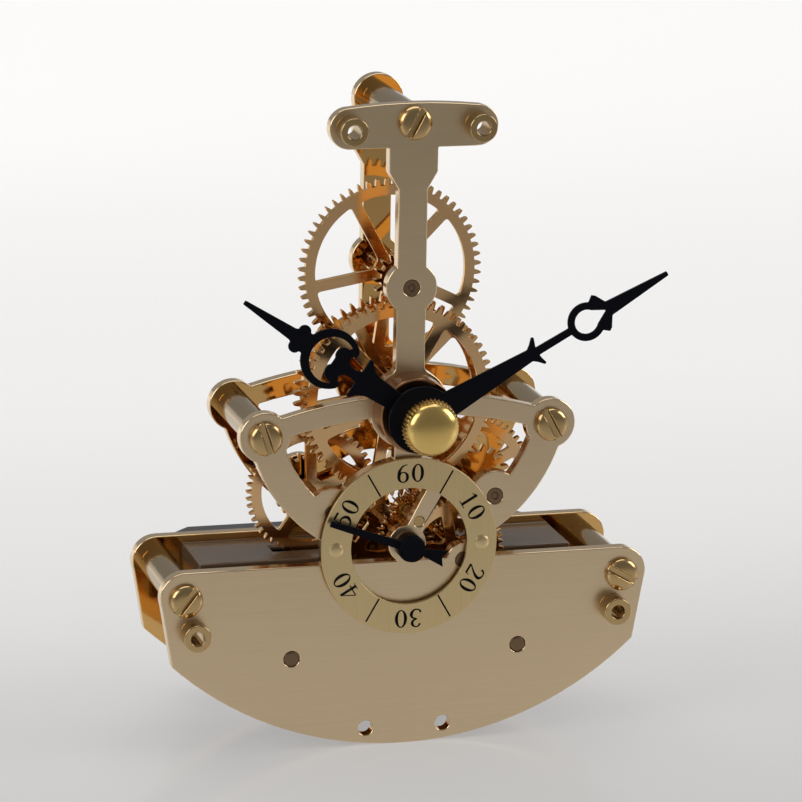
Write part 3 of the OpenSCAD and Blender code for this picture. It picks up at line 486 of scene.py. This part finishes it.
def soften_corners(loop, reach):
    """Loop whose sharp corners are rounded: the points within a reach of a corner give way to a quadratic
    curve from one end of the reach to the other, which the corner pulls towards itself."""
    ahead = np.roll(loop, -1, 0) - loop
    length = np.linalg.norm(ahead, axis=1)
    heading = np.arctan2(ahead[:, 1], ahead[:, 0])
    bend = np.abs((heading - np.roll(heading, 1) + math.pi) % (2.0 * math.pi) - math.pi)
    corners = np.nonzero(bend > math.radians(WINDOW_CORNER))[0]
    if not len(corners):
        return loop
    place = np.concatenate([[0.0], np.cumsum(length)])
    closed = np.vstack([loop, loop[:1]])

    def at(spot):
        """Point at a distance along the loop."""
        return np.array([np.interp(spot % place[-1], place, closed[:, k]) for k in range(2)])

    apart = (np.roll(place[corners], -1) - place[corners]) % place[-1]
    apart[apart == 0.0] = place[-1]
    reach = min(reach, MOST_REACH * apart.min())
    clear = 1.05 * reach
    share = np.linspace(0.0, 1.0, CURVE_POINTS)[:, None]
    parts = []
    for corner, gap in zip(corners, apart):
        start, end = at(place[corner] - reach), at(place[corner] + reach)
        pull = 2.0 * share * (1.0 - share) * loop[corner]
        parts.append((1.0 - share) ** 2 * start + pull + share ** 2 * end)
        beyond = (place[:-1] - place[corner]) % place[-1]
        kept = np.nonzero((beyond > clear) & (beyond < gap - clear))[0]
        parts.append(loop[kept[np.argsort(beyond[kept])]])
    return np.vstack(parts)


def move_in(loop, width):
    """Loop moved to the left of the way round by a width, with mitred corners."""
    ahead = np.roll(loop, -1, 0) - loop
    ahead = ahead / np.linalg.norm(ahead, axis=1, keepdims=True)
    left = np.stack([-ahead[:, 1], ahead[:, 0]], -1)
    before = np.roll(left, 1, 0)
    return loop + width * (left + before) / (1.0 + np.sum(left * before, 1, keepdims=True))


def cap_faces(loops):
    """Triangles that fill the loops, without their holes, as numbers of the points in the order of the loops.
    A triangle is kept if a line to the right of its middle crosses the loops an odd number of times."""
    points = np.vstack(loops) / MM
    first = np.cumsum([0] + [len(loop) for loop in loops])
    borders = [(a + k, a + (k + 1) % (b - a)) for a, b in zip(first[:-1], first[1:]) for k in range(b - a)]
    _, _, faces, origin, _, _ = delaunay_2d_cdt([Vector(p) for p in points], borders, [], 2, 1e-6)
    faces = np.array([[origin[corner][0] for corner in face] for face in faces])
    middle = points[faces].mean(1)[:, None]
    start, end = points[np.array(borders).T]
    passed = (start[:, 1] > middle[..., 1]) != (end[:, 1] > middle[..., 1])
    rise = np.where(end[:, 1] == start[:, 1], 1.0, end[:, 1] - start[:, 1])
    crossing = start[:, 0] + (middle[..., 1] - start[:, 1]) * (end[:, 0] - start[:, 0]) / rise
    return faces[np.sum(passed & (crossing > middle[..., 0]), 1) % 2 == 1]


def prism_piece(node, width, reach, materials):
    """Wheel or pinion in the place of a CAD node: the outlines of its prisms carried from front to back, with
    corners of a width rounded in three steps. The windows' own corners are rounded over a reach. The
    materials are those of the front face, the sides and the back face, or one for all."""
    turn = np.linspace(0.0, 0.5 * math.pi, 4)
    points, faces, kinds = [], [], []
    count = 0
    for front, back, loops in prisms(node):
        loops = [soften_corners(loop, reach) if area(loop) < 0.0 else loop for loop in loops]
        inward = width * (1.0 - np.sin(turn))
        along = width * (1.0 - np.cos(turn))
        rows = list(zip(inward, front + along)) + list(zip(inward, back - along))[::-1]
        rings = [[move_in(loop, step) for loop in loops] for step, _ in rows]
        total = sum(len(loop) for loop in loops)
        for ring, (_, depth) in zip(rings, rows):
            flat = np.vstack(ring)
            points.append(np.column_stack([flat[:, 0], np.full(total, depth), flat[:, 1]]))
        cap = cap_faces(rings[0])
        last = count + total * (len(rows) - 1)
        faces += (count + cap).tolist() + (last + cap[:, ::-1]).tolist()
        kinds += [0] * len(cap) + [2] * len(cap)
        here = 0
        for loop in loops:
            one = here + np.arange(len(loop))
            two = here + np.roll(np.arange(len(loop)), -1)
            for row in range(len(rows) - 1):
                near, far = count + total * row, count + total * (row + 1)
                faces += np.stack([near + one, far + one, far + two, near + two], -1).tolist()
                kinds += [1] * len(loop)
            here += len(loop)
        count += total * len(rows)
    mesh = bpy.data.meshes.new(node + "_shaped")
    mesh.from_pydata(np.vstack(points), [], faces)
    kinds = np.array(kinds, np.int32)
    smooth_by_angle(mesh, 50)
    mesh.polygons.foreach_set("use_smooth", kinds == 1)
    piece = add_piece(node + "_shaped", mesh, body_of_node(node), materials)
    mesh.polygons.foreach_set("material_index", np.minimum(kinds, len(materials) - 1).astype(np.int32))
    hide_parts(node)
    return piece


def grid_mesh(name, points, close_rows, close_columns):
    """Mesh of a grid of points, rows by columns, each joined to the next and, where asked, the last to the
    first. Points that fall together at a pole or a seam are merged, and the faces are turned outwards."""
    rows, columns = points.shape[:2]
    index = np.arange(rows * columns).reshape(rows, columns)
    row_next = np.roll(index, -1, 0)
    corner = [index, row_next, np.roll(row_next, -1, 1), np.roll(index, -1, 1)]
    row_end = rows if close_rows else rows - 1
    column_end = columns if close_columns else columns - 1
    faces = np.stack([c[:row_end, :column_end] for c in corner], -1).reshape(-1, 4)
    mesh = bpy.data.meshes.new(name)
    mesh.from_pydata(points.reshape(-1, 3), [], faces)
    work = bmesh.new()
    work.from_mesh(mesh)
    bmesh.ops.remove_doubles(work, verts=work.verts, dist=0.0005 * MM)
    bmesh.ops.dissolve_degenerate(work, edges=work.edges, dist=0.0002 * MM)
    bmesh.ops.holes_fill(work, edges=work.edges)
    bmesh.ops.recalc_face_normals(work, faces=work.faces)
    work.to_mesh(mesh)
    work.free()
    return mesh


def turned_points(centre, profile, steps, ridges=0, ridge=0.0):
    """Grid of a turned piece: each row is one angle, each column one place on the profile (radius, depth,
    knurl share). The radius is the profile's, less the ridge height times the share times the square of a
    sine wave round the axis, so that the knurl fades where the share is 0."""
    profile = np.asarray(profile, float)
    angle = np.linspace(0.0, 2.0 * math.pi, steps, endpoint=False)[:, None]
    radius = np.repeat(profile[None, :, 0], steps, 0)
    if ridges:
        radius = radius - ridge * profile[None, :, 2] * np.sin(ridges * angle / 2.0) ** 2
    depth = np.repeat(profile[None, :, 1], steps, 0)
    return np.stack([centre[0] + radius * np.sin(angle), depth, centre[1] + radius * np.cos(angle)], -1)


def axis_of(node):
    """Middle of a node in the plane of the plates, its front and back depth, and its half width."""
    low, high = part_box(node)
    return ((low.x + high.x) / 2.0, (low.z + high.z) / 2.0), low.y, high.y, (high.x - low.x) / 2.0


def arc(centre, radius, start, end, count):
    """Points (radius, depth) on a quarter or part of a round edge, from one angle to another in degrees."""
    angle = np.radians(np.linspace(start, end, count))
    return np.stack([centre[0] + radius * np.cos(angle), centre[1] + radius * np.sin(angle)], -1)


# Plates, pillars, wheels and cases with rounded corners

for plate in ("front_plate", "rear_plate"):
    rounded_copy(plate, 0.22, 3, edge_gold, polished_gold)
for pillar in ("top_pillar", "left_ear_pillar", "right_ear_pillar", "left_base_pillar", "right_base_pillar"):
    rounded_copy(pillar, 0.2)
WHEELS = ("drive_wheel", "seconds_wheel", "fourth_wheel", "third_wheel", "centre_wheel", "motion_wheel",
          "hour_wheel")
for wheel in WHEELS:
    prism_piece(wheel, 0.05 * MM, 0.9 * MM, [wheel_gold, polished_gold, polished_gold])
PINIONS = ("drive_pinion", "seconds_pinion", "reverse_pinion", "fourth_pinion", "third_pinion",
           "cannon_pinion", "motion_pinion")
for pinion in PINIONS:
    prism_piece(pinion, 0.035 * MM, 0.2 * MM, [polished_gold])
rounded_copy("rotor_shaft", 0.03, 2)
for arbor in ("drive_arbor", "seconds_arbor", "fourth_arbor", "third_arbor", "centre_arbor", "motion_arbor"):
    rounded_copy(arbor, 0.1, 2, polished_gold, polished_gold, bush_bronze)
rounded_copy("reverse_stud", 0.1, 2, finish=screw_brass)
for detail in ("hour_pipe", "reverse_clip", "rotor_magnet"):
    rounded_copy(detail, 0.1, 2)
for hand in ("minute_hand", "hour_hand"):
    rounded_copy(hand, 0.14, 3)
rounded_copy("second_hand", 0.1, 2, whole_faces=False)
for fitting in ("front_screws", "rear_screws", "tee_standoffs", "base_standoffs"):
    rounded_copy(fitting, 0.22, 3)
for small in ("dial_rivets", "seconds_dial", "front_bushes", "rear_bushes", "stator", "coil",
              "circuit_board"):
    rounded_copy(small, 0.1, 2)
rounded_copy("hand_boss", 0.35, 3, finish=boss_gold_painted_shade)
case = rounded_copy("motor_case", 0.4, 3, hollows=False)
rounded_copy("motor_lid", 0.3, 2, hollows=False)
# The case's pegs, which end in the front plate, are brown: painted shade of the dim holes they fill
PEG_REACH = 5.0 * MM
case.data.materials.append(bush_bronze)
on_pegs = face_middles(case.data)[:, 1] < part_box("front_plate")[0].y + PEG_REACH
case.data.polygons.foreach_set("material_index", on_pegs.astype(np.int32))
rounded_copy("battery_box", 0.5, 3, whole_faces=False)

# Hand nut and setting knob, both with a knurled rim


# Ridges round a knurled rim, and points on each
RIDGES = 42
RIDGE_POINTS = 8


def knurl_wall(radii, start, end, soft):
    """Profile of a knurled rim from one radius and depth to another. Its knurl runs out over soft corners."""
    step = math.copysign(soft, end - start)
    return [
        [radii[0] - 0.6 * soft, start, 0.2], [radii[0] - 0.2 * soft, start + 0.25 * step, 0.9],
        [radii[0], start + step, 1.0], [radii[1], end - step, 1.0],
        [radii[1] - 0.25 * soft, end - 0.25 * step, 0.9], [radii[1] - 0.8 * soft, end, 0.4],
    ]


def knurled_piece(node, profile, ridge, finish):
    """Turned piece with a knurled rim in the place of a CAD node."""
    centre = axis_of(node)[0]
    grid = turned_points(centre, profile, RIDGES * RIDGE_POINTS, RIDGES, ridge)
    mesh = grid_mesh(node + "_knurled", grid, True, False)
    smooth_by_angle(mesh, 50)
    piece = add_piece(node + "_knurled", mesh, body_of_node(node), [finish])
    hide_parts(node)


def shape_nut():
    """Nut on a neck: its face is a quarter of an ellipse from the middle to the rim, which is knurled."""
    _, front, back, radius = axis_of("hand_nut")
    rim_back = back - 0.53 * (back - front)
    rim_front = back - 0.76 * (back - front)
    face_r, rim_front_r, shoulder_r, neck_r = (share * radius for share in (0.89, 0.94, 0.66, 0.6))
    soft = 0.3 * MM
    turn = np.linspace(0.0, 0.5 * math.pi, 20)
    bulge = (rim_front - front) * (1.0 - np.cos(turn))
    face = np.column_stack([face_r * np.sin(turn), front + bulge, np.zeros_like(turn)])
    rim = knurl_wall((rim_front_r, radius), rim_front, rim_back, soft)
    neck = [[shoulder_r, rim_back, 0.0], [neck_r, rim_back + soft, 0.0], [neck_r, back, 0.0],
            [0.0, back, 0.0]]
    knurled_piece("hand_nut", np.vstack([face, rim, neck]), 0.4 * MM, nut_brass)


def shape_knob():
    """Setting knob: a knurled rim and a flat back with a shallow dish in it."""
    _, front, back, radius = axis_of("setting_knob")
    dish_share, dish_depth = 0.62, 0.4 * MM
    dish = np.linspace(0.0, dish_share, 8)
    hollow = dish_depth * (1.0 - (dish / dish_share) ** 2)
    face = np.column_stack([dish * radius, back - hollow, np.zeros_like(dish)])
    rim = knurl_wall((radius, radius), back, front, 0.5 * MM)
    knurled_piece("setting_knob", np.vstack([face, rim, [[0.0, front, 0.0]]]), 0.35 * MM, box_black)


shape_nut()
shape_knob()

# Battery cell and its contacts


def along_width(points):
    """Turns a piece that was worked out along the depth so that it lies along the width."""
    return points[..., [1, 0, 2]]


cell_low, cell_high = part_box("battery_cell")
cell_mid = ((cell_low.y + cell_high.y) / 2.0, (cell_low.z + cell_high.z) / 2.0)
cell_r = (cell_high.z - cell_low.z) / 2.0
button_l = 1.3 * MM
jacket_end = cell_high.x - button_l
crimp = 0.55 * MM
base_dent = 0.3 * MM
soft_step = 0.25 * MM
# Outline of the cell, from the middle of its base to the middle of its button, as (radius, place along it)
cell_profile = np.vstack([
    [[0.0, cell_low.x + base_dent], [0.42 * cell_r, cell_low.x + base_dent], [0.46 * cell_r, cell_low.x]],
    [[0.8 * cell_r, cell_low.x], [0.84 * cell_r, cell_low.x + soft_step]],
    arc((cell_r - crimp, cell_low.x + crimp), crimp, 200.0, 360.0, 9),
    arc((cell_r - crimp, jacket_end - crimp), crimp, 0.0, 140.0, 9),
    [[0.8 * cell_r, jacket_end - 0.5 * MM], [0.42 * cell_r, jacket_end - 0.4 * MM]],
    [[0.385 * cell_r, jacket_end], [0.38 * cell_r, cell_high.x - soft_step], [0.33 * cell_r, cell_high.x]],
    [[0.0, cell_high.x]],
])
cell_grid = along_width(turned_points(cell_mid, cell_profile, 96))
cell_mesh = grid_mesh("battery_cell_wrapped", cell_grid, True, False)
smooth_by_angle(cell_mesh, 40)
cell = add_piece("battery_cell_wrapped", cell_mesh, "frame", [cell_jacket, bright_steel])
cell_x = face_middles(cell_mesh)[:, 0]
bare = (cell_x < cell_low.x + 0.5 * crimp) | (cell_x > jacket_end - 0.3 * crimp)
cell_mesh.polygons.foreach_set("material_index", bare.astype(np.int32))
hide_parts("battery_cell")


def swept_wire(path, wire_r, sides=10):
    """Round wire along a path: at each point a circle stands square to the path, on two directions that are
    worked out from the path's own direction and the width axis."""
    ahead = np.gradient(path, axis=0)
    ahead = ahead / np.linalg.norm(ahead, axis=1, keepdims=True)
    side = np.cross(ahead, np.array([1.0, 0.0, 0.0]))
    side = side / np.linalg.norm(side, axis=1, keepdims=True)
    over = np.cross(ahead, side)
    turn = np.linspace(0.0, 2.0 * math.pi, sides, endpoint=False)
    ring = np.cos(turn)[None, :, None] * side[:, None] + np.sin(turn)[None, :, None] * over[:, None]
    return path[:, None] + wire_r * ring


contact_low, contact_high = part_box("battery_contacts")
spring_turns = 4.0
spring_wire = 0.24 * MM
spring_wide, spring_narrow = 0.62, 0.26
spring_share = np.linspace(0.0, 1.0, 160)
spring_angle = 2.0 * math.pi * spring_turns * spring_share
spring_r = (spring_wide + (spring_narrow - spring_wide) * spring_share) * cell_r
spring_reach = cell_low.x - contact_low.x - 0.5 * MM
# The reach is clipped at both ends, so that the spring's ends lie flat
spring_path = np.column_stack([
    contact_low.x + 0.25 * MM + spring_reach * np.clip(spring_share * 1.1 - 0.05, 0.0, 1.0),
    cell_mid[0] + spring_r * np.cos(spring_angle),
    cell_mid[1] + spring_r * np.sin(spring_angle),
])
spring_mesh = grid_mesh("battery_spring", swept_wire(spring_path, spring_wire), False, True)
spring = add_piece("battery_spring", spring_mesh, "frame", [bright_steel])
smooth_by_angle(spring_mesh, 60)
# Outline of the contact at the cell's button, as (radius, place along the width) from its outer face
tab_profile = np.array([
    [0.0, -1.1], [0.9, -1.1], [1.6, -0.8], [2.2, -0.42], [5.2, -0.4], [5.4, -0.3], [5.4, -0.1], [5.2, 0.0],
    [0.0, 0.0],
]) * MM
tab_profile[:, 1] += contact_high.x
tab_mesh = grid_mesh("battery_tab", along_width(turned_points(cell_mid, tab_profile, 64)), True, False)
smooth_by_angle(tab_mesh, 40)
add_piece("battery_tab", tab_mesh, "frame", [bright_steel])
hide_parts("battery_contacts")

# Print on the seconds dial

dial_centre, dial_front, _, dial_r = axis_of("seconds_dial")
ring_w = 5.5 * MM
print_r = dial_r - 0.5 * ring_w
ink_t = 0.03 * MM
ink_sink = 0.02 * MM
# Lift of each stroke over the one before, so that no two lie in one plane
ink_step = 0.0008 * MM
line_half = 0.15 * MM


def smooth_path(points, count=28):
    """Curve through a few points (x, y, half width): each span is a cubic between its two points, with slopes
    taken from their neighbours."""
    points = np.asarray(points, float)
    if len(points) == 2:
        share = np.linspace(0.0, 1.0, 2)[:, None]
        return points[0] * (1.0 - share) + points[1] * share
    padded = np.vstack([2.0 * points[0] - points[1], points, 2.0 * points[-1] - points[-2]])
    spot = np.linspace(0.0, len(points) - 1.0, count)
    span = np.minimum(spot.astype(int), len(points) - 2)
    t = (spot - span)[:, None]
    before, start, end, after = (padded[span + k] for k in range(4))
    return 0.5 * (2.0 * start + (end - before) * t + (2.0 * before - 5.0 * start + 4.0 * end - after) * t ** 2
                  + (3.0 * start - before - 3.0 * end + after) * t ** 3)


def stroke_points(path, lift):
    """Flat stroke of ink: a flat rectangle as wide as the path says is carried along it, square to its
    direction. The result is a grid with the four corners of the rectangle as columns."""
    ahead = np.gradient(path[:, :2], axis=0)
    ahead = ahead / np.linalg.norm(ahead, axis=1, keepdims=True)
    side = np.stack([-ahead[:, 1], ahead[:, 0]], -1) * path[:, 2:3]
    left, right = path[:, :2] + side, path[:, :2] - side
    over, under = np.full(len(path), lift), np.full(len(path), 0.0)
    corners = [(left, over), (right, over), (right, under), (left, under)]
    return np.stack([np.column_stack([place, height]) for place, height in corners], 1)


def oval(x, y, half_w, half_h, thin, thick):
    """Closed loop of a numeral: an ellipse, thick at its sides and thin at its top and bottom."""
    t = np.linspace(0.0, 2.0 * math.pi, 41)
    half_line = thin + (thick - thin) * np.cos(t) ** 2
    return np.column_stack([x + half_w * np.cos(t), y + half_h * np.sin(t), half_line])


# Strokes of each numeral, as points (x, y, half width) in numeral heights
NUMERALS = {
    "0": [oval(0.31, 0.5, 0.22, 0.46, 0.03, 0.085)],
    "1": [[(0.31, 0.03, 0.075), (0.31, 0.98, 0.075)], [(0.1, 0.025, 0.025), (0.52, 0.025, 0.025)],
          [(0.31, 0.96, 0.03), (0.2, 0.86, 0.03), (0.1, 0.82, 0.02)]],
    "2": [[(0.1, 0.76, 0.06), (0.16, 0.92, 0.045), (0.33, 0.97, 0.035), (0.5, 0.86, 0.07), (0.5, 0.68, 0.08),
           (0.34, 0.4, 0.05), (0.08, 0.08, 0.03)], [(0.07, 0.06, 0.055), (0.55, 0.06, 0.055)],
          [(0.54, 0.06, 0.03), (0.57, 0.24, 0.02)]],
    "3": [[(0.1, 0.8, 0.055), (0.18, 0.94, 0.04), (0.33, 0.97, 0.035), (0.47, 0.84, 0.075),
           (0.44, 0.64, 0.06), (0.24, 0.54, 0.025)],
          [(0.24, 0.54, 0.025), (0.46, 0.47, 0.05), (0.53, 0.28, 0.085), (0.42, 0.07, 0.05),
           (0.25, 0.02, 0.035), (0.11, 0.09, 0.045), (0.09, 0.2, 0.055)]],
    "4": [[(0.42, 0.03, 0.07), (0.42, 0.98, 0.07)], [(0.42, 0.96, 0.025), (0.04, 0.3, 0.025)],
          [(0.03, 0.28, 0.032), (0.6, 0.28, 0.032)], [(0.25, 0.025, 0.022), (0.58, 0.025, 0.022)]],
    "5": [[(0.16, 0.93, 0.06), (0.53, 0.93, 0.06)], [(0.16, 0.96, 0.022), (0.13, 0.52, 0.022)],
          [(0.13, 0.53, 0.025), (0.3, 0.61, 0.04), (0.48, 0.5, 0.07), (0.53, 0.3, 0.085), (0.42, 0.08, 0.05),
           (0.24, 0.02, 0.035), (0.11, 0.08, 0.045), (0.09, 0.18, 0.055)]],
    "6": [oval(0.32, 0.3, 0.21, 0.27, 0.03, 0.08),
          [(0.1, 0.3, 0.08), (0.13, 0.6, 0.075), (0.25, 0.84, 0.045), (0.4, 0.95, 0.03), (0.52, 0.96, 0.02)]],
}
NUMERAL_H = 3.4 * MM
NUMERAL_STEP = 0.72
NUMERAL_STRETCH = np.array([1.12, 1.0, 1.0])


def number_strokes(text):
    """Strokes of a number of some digits, in a box one numeral high, set about its middle."""
    width = NUMERAL_STEP * len(text) - 0.08
    strokes = []
    for place, digit in enumerate(text):
        shift = np.array([place * NUMERAL_STEP - width / 2.0, -0.5, 0.0])
        strokes += [(stroke if isinstance(stroke, np.ndarray) else smooth_path(stroke)) + shift
                    for stroke in NUMERALS[digit]]
    return [stroke * NUMERAL_STRETCH * NUMERAL_H for stroke in strokes]


def on_dial(grid, clock_angle, radius):
    """Carries a flat grid (across, up, lift) to the dial: turned clockwise by the angle, with its foot
    towards the dial's middle, and printed on the front face."""
    turn = math.radians(clock_angle)
    across, up, lift = grid[..., 0], grid[..., 1] + radius, grid[..., 2]
    x = dial_centre[0] + across * math.cos(turn) + up * math.sin(turn)
    z = dial_centre[1] - across * math.sin(turn) + up * math.cos(turn)
    return np.stack([x, dial_front + ink_sink - lift, z], -1)


def join_meshes(name, meshes):
    """One mesh from several, kept as separate closed shells."""
    work = bmesh.new()
    for mesh in meshes:
        work.from_mesh(mesh)
    joined = bpy.data.meshes.new(name)
    work.to_mesh(joined)
    work.free()
    for mesh in meshes:
        bpy.data.meshes.remove(mesh)
    return joined


def print_on_dial():
    """Numerals at every tenth second and four lines between them."""
    shells = []
    lift = ink_t + ink_sink
    for count, text in enumerate(("60", "10", "20", "30", "40", "50")):
        for number, stroke in enumerate(number_strokes(text)):
            flat = stroke_points(stroke, lift + ink_step * number)
            shells.append(grid_mesh("ink", on_dial(flat, 60.0 * count, print_r), False, True))
    for second in (5, 25, 35, 55):
        line = np.array([[0.0, -0.47 * ring_w, line_half], [0.0, 0.4 * ring_w, line_half]])
        flat = stroke_points(line, lift)
        shells.append(grid_mesh("ink", on_dial(flat, 6.0 * second, print_r), False, True))
    mesh = join_meshes("dial_print", shells)
    return add_piece("dial_print", mesh, "frame", [dial_ink])


print_on_dial()

# Floor, light and camera


# Floor in metres: its near edge, where it starts to turn up, the radius of that bend, and its half width
FLOOR_NEAR = -3.0
FLOOR_FAR = 1.1
FLOOR_BEND = 0.2
FLOOR_HALF = 4.0


def sweep_surface():
    """Floor that turns up at its far edge: the profile goes level and round a quarter circle, and is carried
    along the width."""
    quarter = np.radians(np.linspace(-90.0, 0.0, 24))
    round_part = np.column_stack([FLOOR_FAR + FLOOR_BEND * np.cos(quarter),
                                  FLOOR_BEND + FLOOR_BEND * np.sin(quarter)])
    profile = np.vstack([[[FLOOR_NEAR, 0.0]], round_part])
    across = np.array([-FLOOR_HALF, FLOOR_HALF])
    grid = np.stack([np.repeat(across[None, :], len(profile), 0), np.repeat(profile[:, :1], 2, 1),
                     np.repeat(profile[:, 1:], 2, 1)], -1)
    mesh = bpy.data.meshes.new("studio_sweep")
    index = np.arange(2 * len(profile)).reshape(-1, 2)
    faces = np.stack([index[:-1, 0], index[:-1, 1], index[1:, 1], index[1:, 0]], -1)
    mesh.from_pydata(grid.reshape(-1, 3), [], faces)
    mesh.shade_smooth()
    return mesh


# Grey of the floor and its own glow at some depths, from the viewer's side to the back
# The grey darkens towards the viewer's side: painted shade of a dim room in front. Near the object the glow
# is painted light that fills the object's shadow
FLOOR_TONES = ((-0.7, 0.22, 0.08), (-0.35, 0.28, 0.1), (-0.1, 0.32, 0.26), (0.0, 0.31, 0.36),
               (0.1, 0.33, 0.46), (0.25, 0.36, 0.54), (0.5, 0.36, 0.56), (1.0, 0.36, 0.56))
sweep_material, sweep_tree, sweep_shader, sweep_place = material_base("studio_floor")


def tone_by_depth(tree, place, levels):
    """Warm grey that follows the depth, through levels (depth, grey)."""
    split = tree.nodes.new("ShaderNodeSeparateXYZ")
    link(tree, place, split.inputs[0])
    span = tree.nodes.new("ShaderNodeMapRange")
    span.inputs["From Min"].default_value = levels[0][0]
    span.inputs["From Max"].default_value = levels[-1][0]
    link(tree, split.outputs["Y"], span.inputs["Value"])
    ramp = tree.nodes.new("ShaderNodeValToRGB")
    while len(ramp.color_ramp.elements) < len(levels):
        ramp.color_ramp.elements.new(0.5)
    for stop, (depth, grey) in zip(ramp.color_ramp.elements, levels):
        stop.position = (depth - levels[0][0]) / (levels[-1][0] - levels[0][0])
        stop.color = (grey, 0.992 * grey, 0.985 * grey, 1.0)
    link(tree, span.outputs[0], ramp.inputs["Fac"])
    return ramp.outputs["Color"]


def seen_directly(tree):
    """1 for what the camera sees, straight, in a reflection or through glass, and 0 for diffuse light."""
    rays = tree.nodes.new("ShaderNodeLightPath").outputs
    indirect = math_node(tree, "MAXIMUM", rays["Is Glossy Ray"], rays["Is Transmission Ray"])
    return math_node(tree, "MAXIMUM", rays["Is Camera Ray"], indirect)


floor_greys = [(depth, grey) for depth, grey, _ in FLOOR_TONES]
floor_glows = [(depth, glow) for depth, _, glow in FLOOR_TONES]
link(sweep_tree, tone_by_depth(sweep_tree, sweep_place, floor_greys), sweep_shader.inputs["Base Color"])
link(sweep_tree, tone_by_depth(sweep_tree, sweep_place, floor_glows), sweep_shader.inputs["Emission Color"])
link(sweep_tree, seen_directly(sweep_tree), sweep_shader.inputs["Emission Strength"])
sweep_shader.inputs["Roughness"].default_value = 0.18
sweep_shader.inputs["Specular IOR Level"].default_value = 0.35
sweep = bpy.data.objects.new("studio_sweep", sweep_surface())
sweep.data.materials.append(sweep_material)
bpy.context.scene.collection.objects.link(sweep)


def soft_box(name, place, target, size, power):
    """Square soft light that looks at a point."""
    lamp = bpy.data.lights.new(name, "AREA")
    lamp.size = size
    lamp.energy = power
    holder = bpy.data.objects.new(name, lamp)
    holder.location = place
    holder.rotation_euler = (Vector(target) - Vector(place)).to_track_quat("-Z", "Y").to_euler()
    bpy.context.scene.collection.objects.link(holder)


MIDDLE = (0.0, 0.0, 0.06)
soft_box("light_over", (0.0, 0.4, 0.95), (0.0, 0.3, 0.0), size=0.9, power=4.5)
soft_box("light_left", (-0.8, -0.3, 0.5), MIDDLE, size=0.6, power=3.6)
soft_box("light_right", (0.8, -0.2, 0.45), MIDDLE, size=0.5, power=3.2)


def build_world():
    """Pale studio: the direction a ray leaves in sets the grey, dimmer towards the viewer's side of the room
    than behind and over the object."""
    world = bpy.data.worlds.new("studio")
    bpy.context.scene.world = world
    world.use_nodes = True
    tree = world.node_tree
    background = tree.nodes["Background"]
    direction = tree.nodes.new("ShaderNodeSeparateXYZ")
    link(tree, tree.nodes.new("ShaderNodeTexCoord").outputs["Generated"], direction.inputs[0])
    shade = tree.nodes.new("ShaderNodeMapRange")
    shade.interpolation_type = "SMOOTHSTEP"
    shade.inputs["From Min"].default_value = -0.9
    shade.inputs["From Max"].default_value = 0.3
    shade.inputs["To Min"].default_value = 0.21
    shade.inputs["To Max"].default_value = 0.3
    link(tree, direction.outputs["Y"], shade.inputs["Value"])
    link(tree, shade.outputs[0], background.inputs["Strength"])
    background.inputs["Color"].default_value = (1.0, 0.99, 0.98, 1.0)


build_world()


# The photograph's camera: its turns in degrees, the place (x, z) on the front plate that it looks at, its
# distance from there and the sensor's width in millimetres, and its focal length and the photograph's width
# in pixels
VIEW_TURNS = (15.53, 14.12, 0.98)
VIEW_TARGET = (-1.63, 63.89)
VIEW_DISTANCE = 742.0
FOCAL_PIXELS = 4184.39
PHOTO_PIXELS = 802.0
SENSOR = 36.0


def place_camera():
    """Camera at the photograph's place: left of the front by the yaw, above by the pitch, turned by the
    roll."""
    yaw, pitch, roll = (math.radians(turn) for turn in VIEW_TURNS)
    target = Vector((VIEW_TARGET[0] * MM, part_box("front_plate")[0].y, VIEW_TARGET[1] * MM))
    ahead = Vector((math.sin(yaw) * math.cos(pitch), math.cos(yaw) * math.cos(pitch), -math.sin(pitch)))
    right = Vector((math.cos(yaw), -math.sin(yaw), 0.0))
    up = right.cross(ahead)
    right_rolled = math.cos(roll) * right + math.sin(roll) * up
    up_rolled = -math.sin(roll) * right + math.cos(roll) * up
    camera = bpy.data.cameras.new("camera")
    camera.sensor_width = SENSOR
    camera.lens = SENSOR * FOCAL_PIXELS / PHOTO_PIXELS
    camera.clip_start = 0.05
    camera.clip_end = 20.0
    holder = bpy.data.objects.new("camera", camera)
    turn = Matrix((right_rolled, up_rolled, -ahead)).transposed().to_4x4()
    holder.matrix_world = Matrix.Translation(target - ahead * VIEW_DISTANCE * MM) @ turn
    bpy.context.scene.collection.objects.link(holder)
    bpy.context.scene.camera = holder


place_camera()
bpy.context.scene.view_settings.view_transform = "Standard"
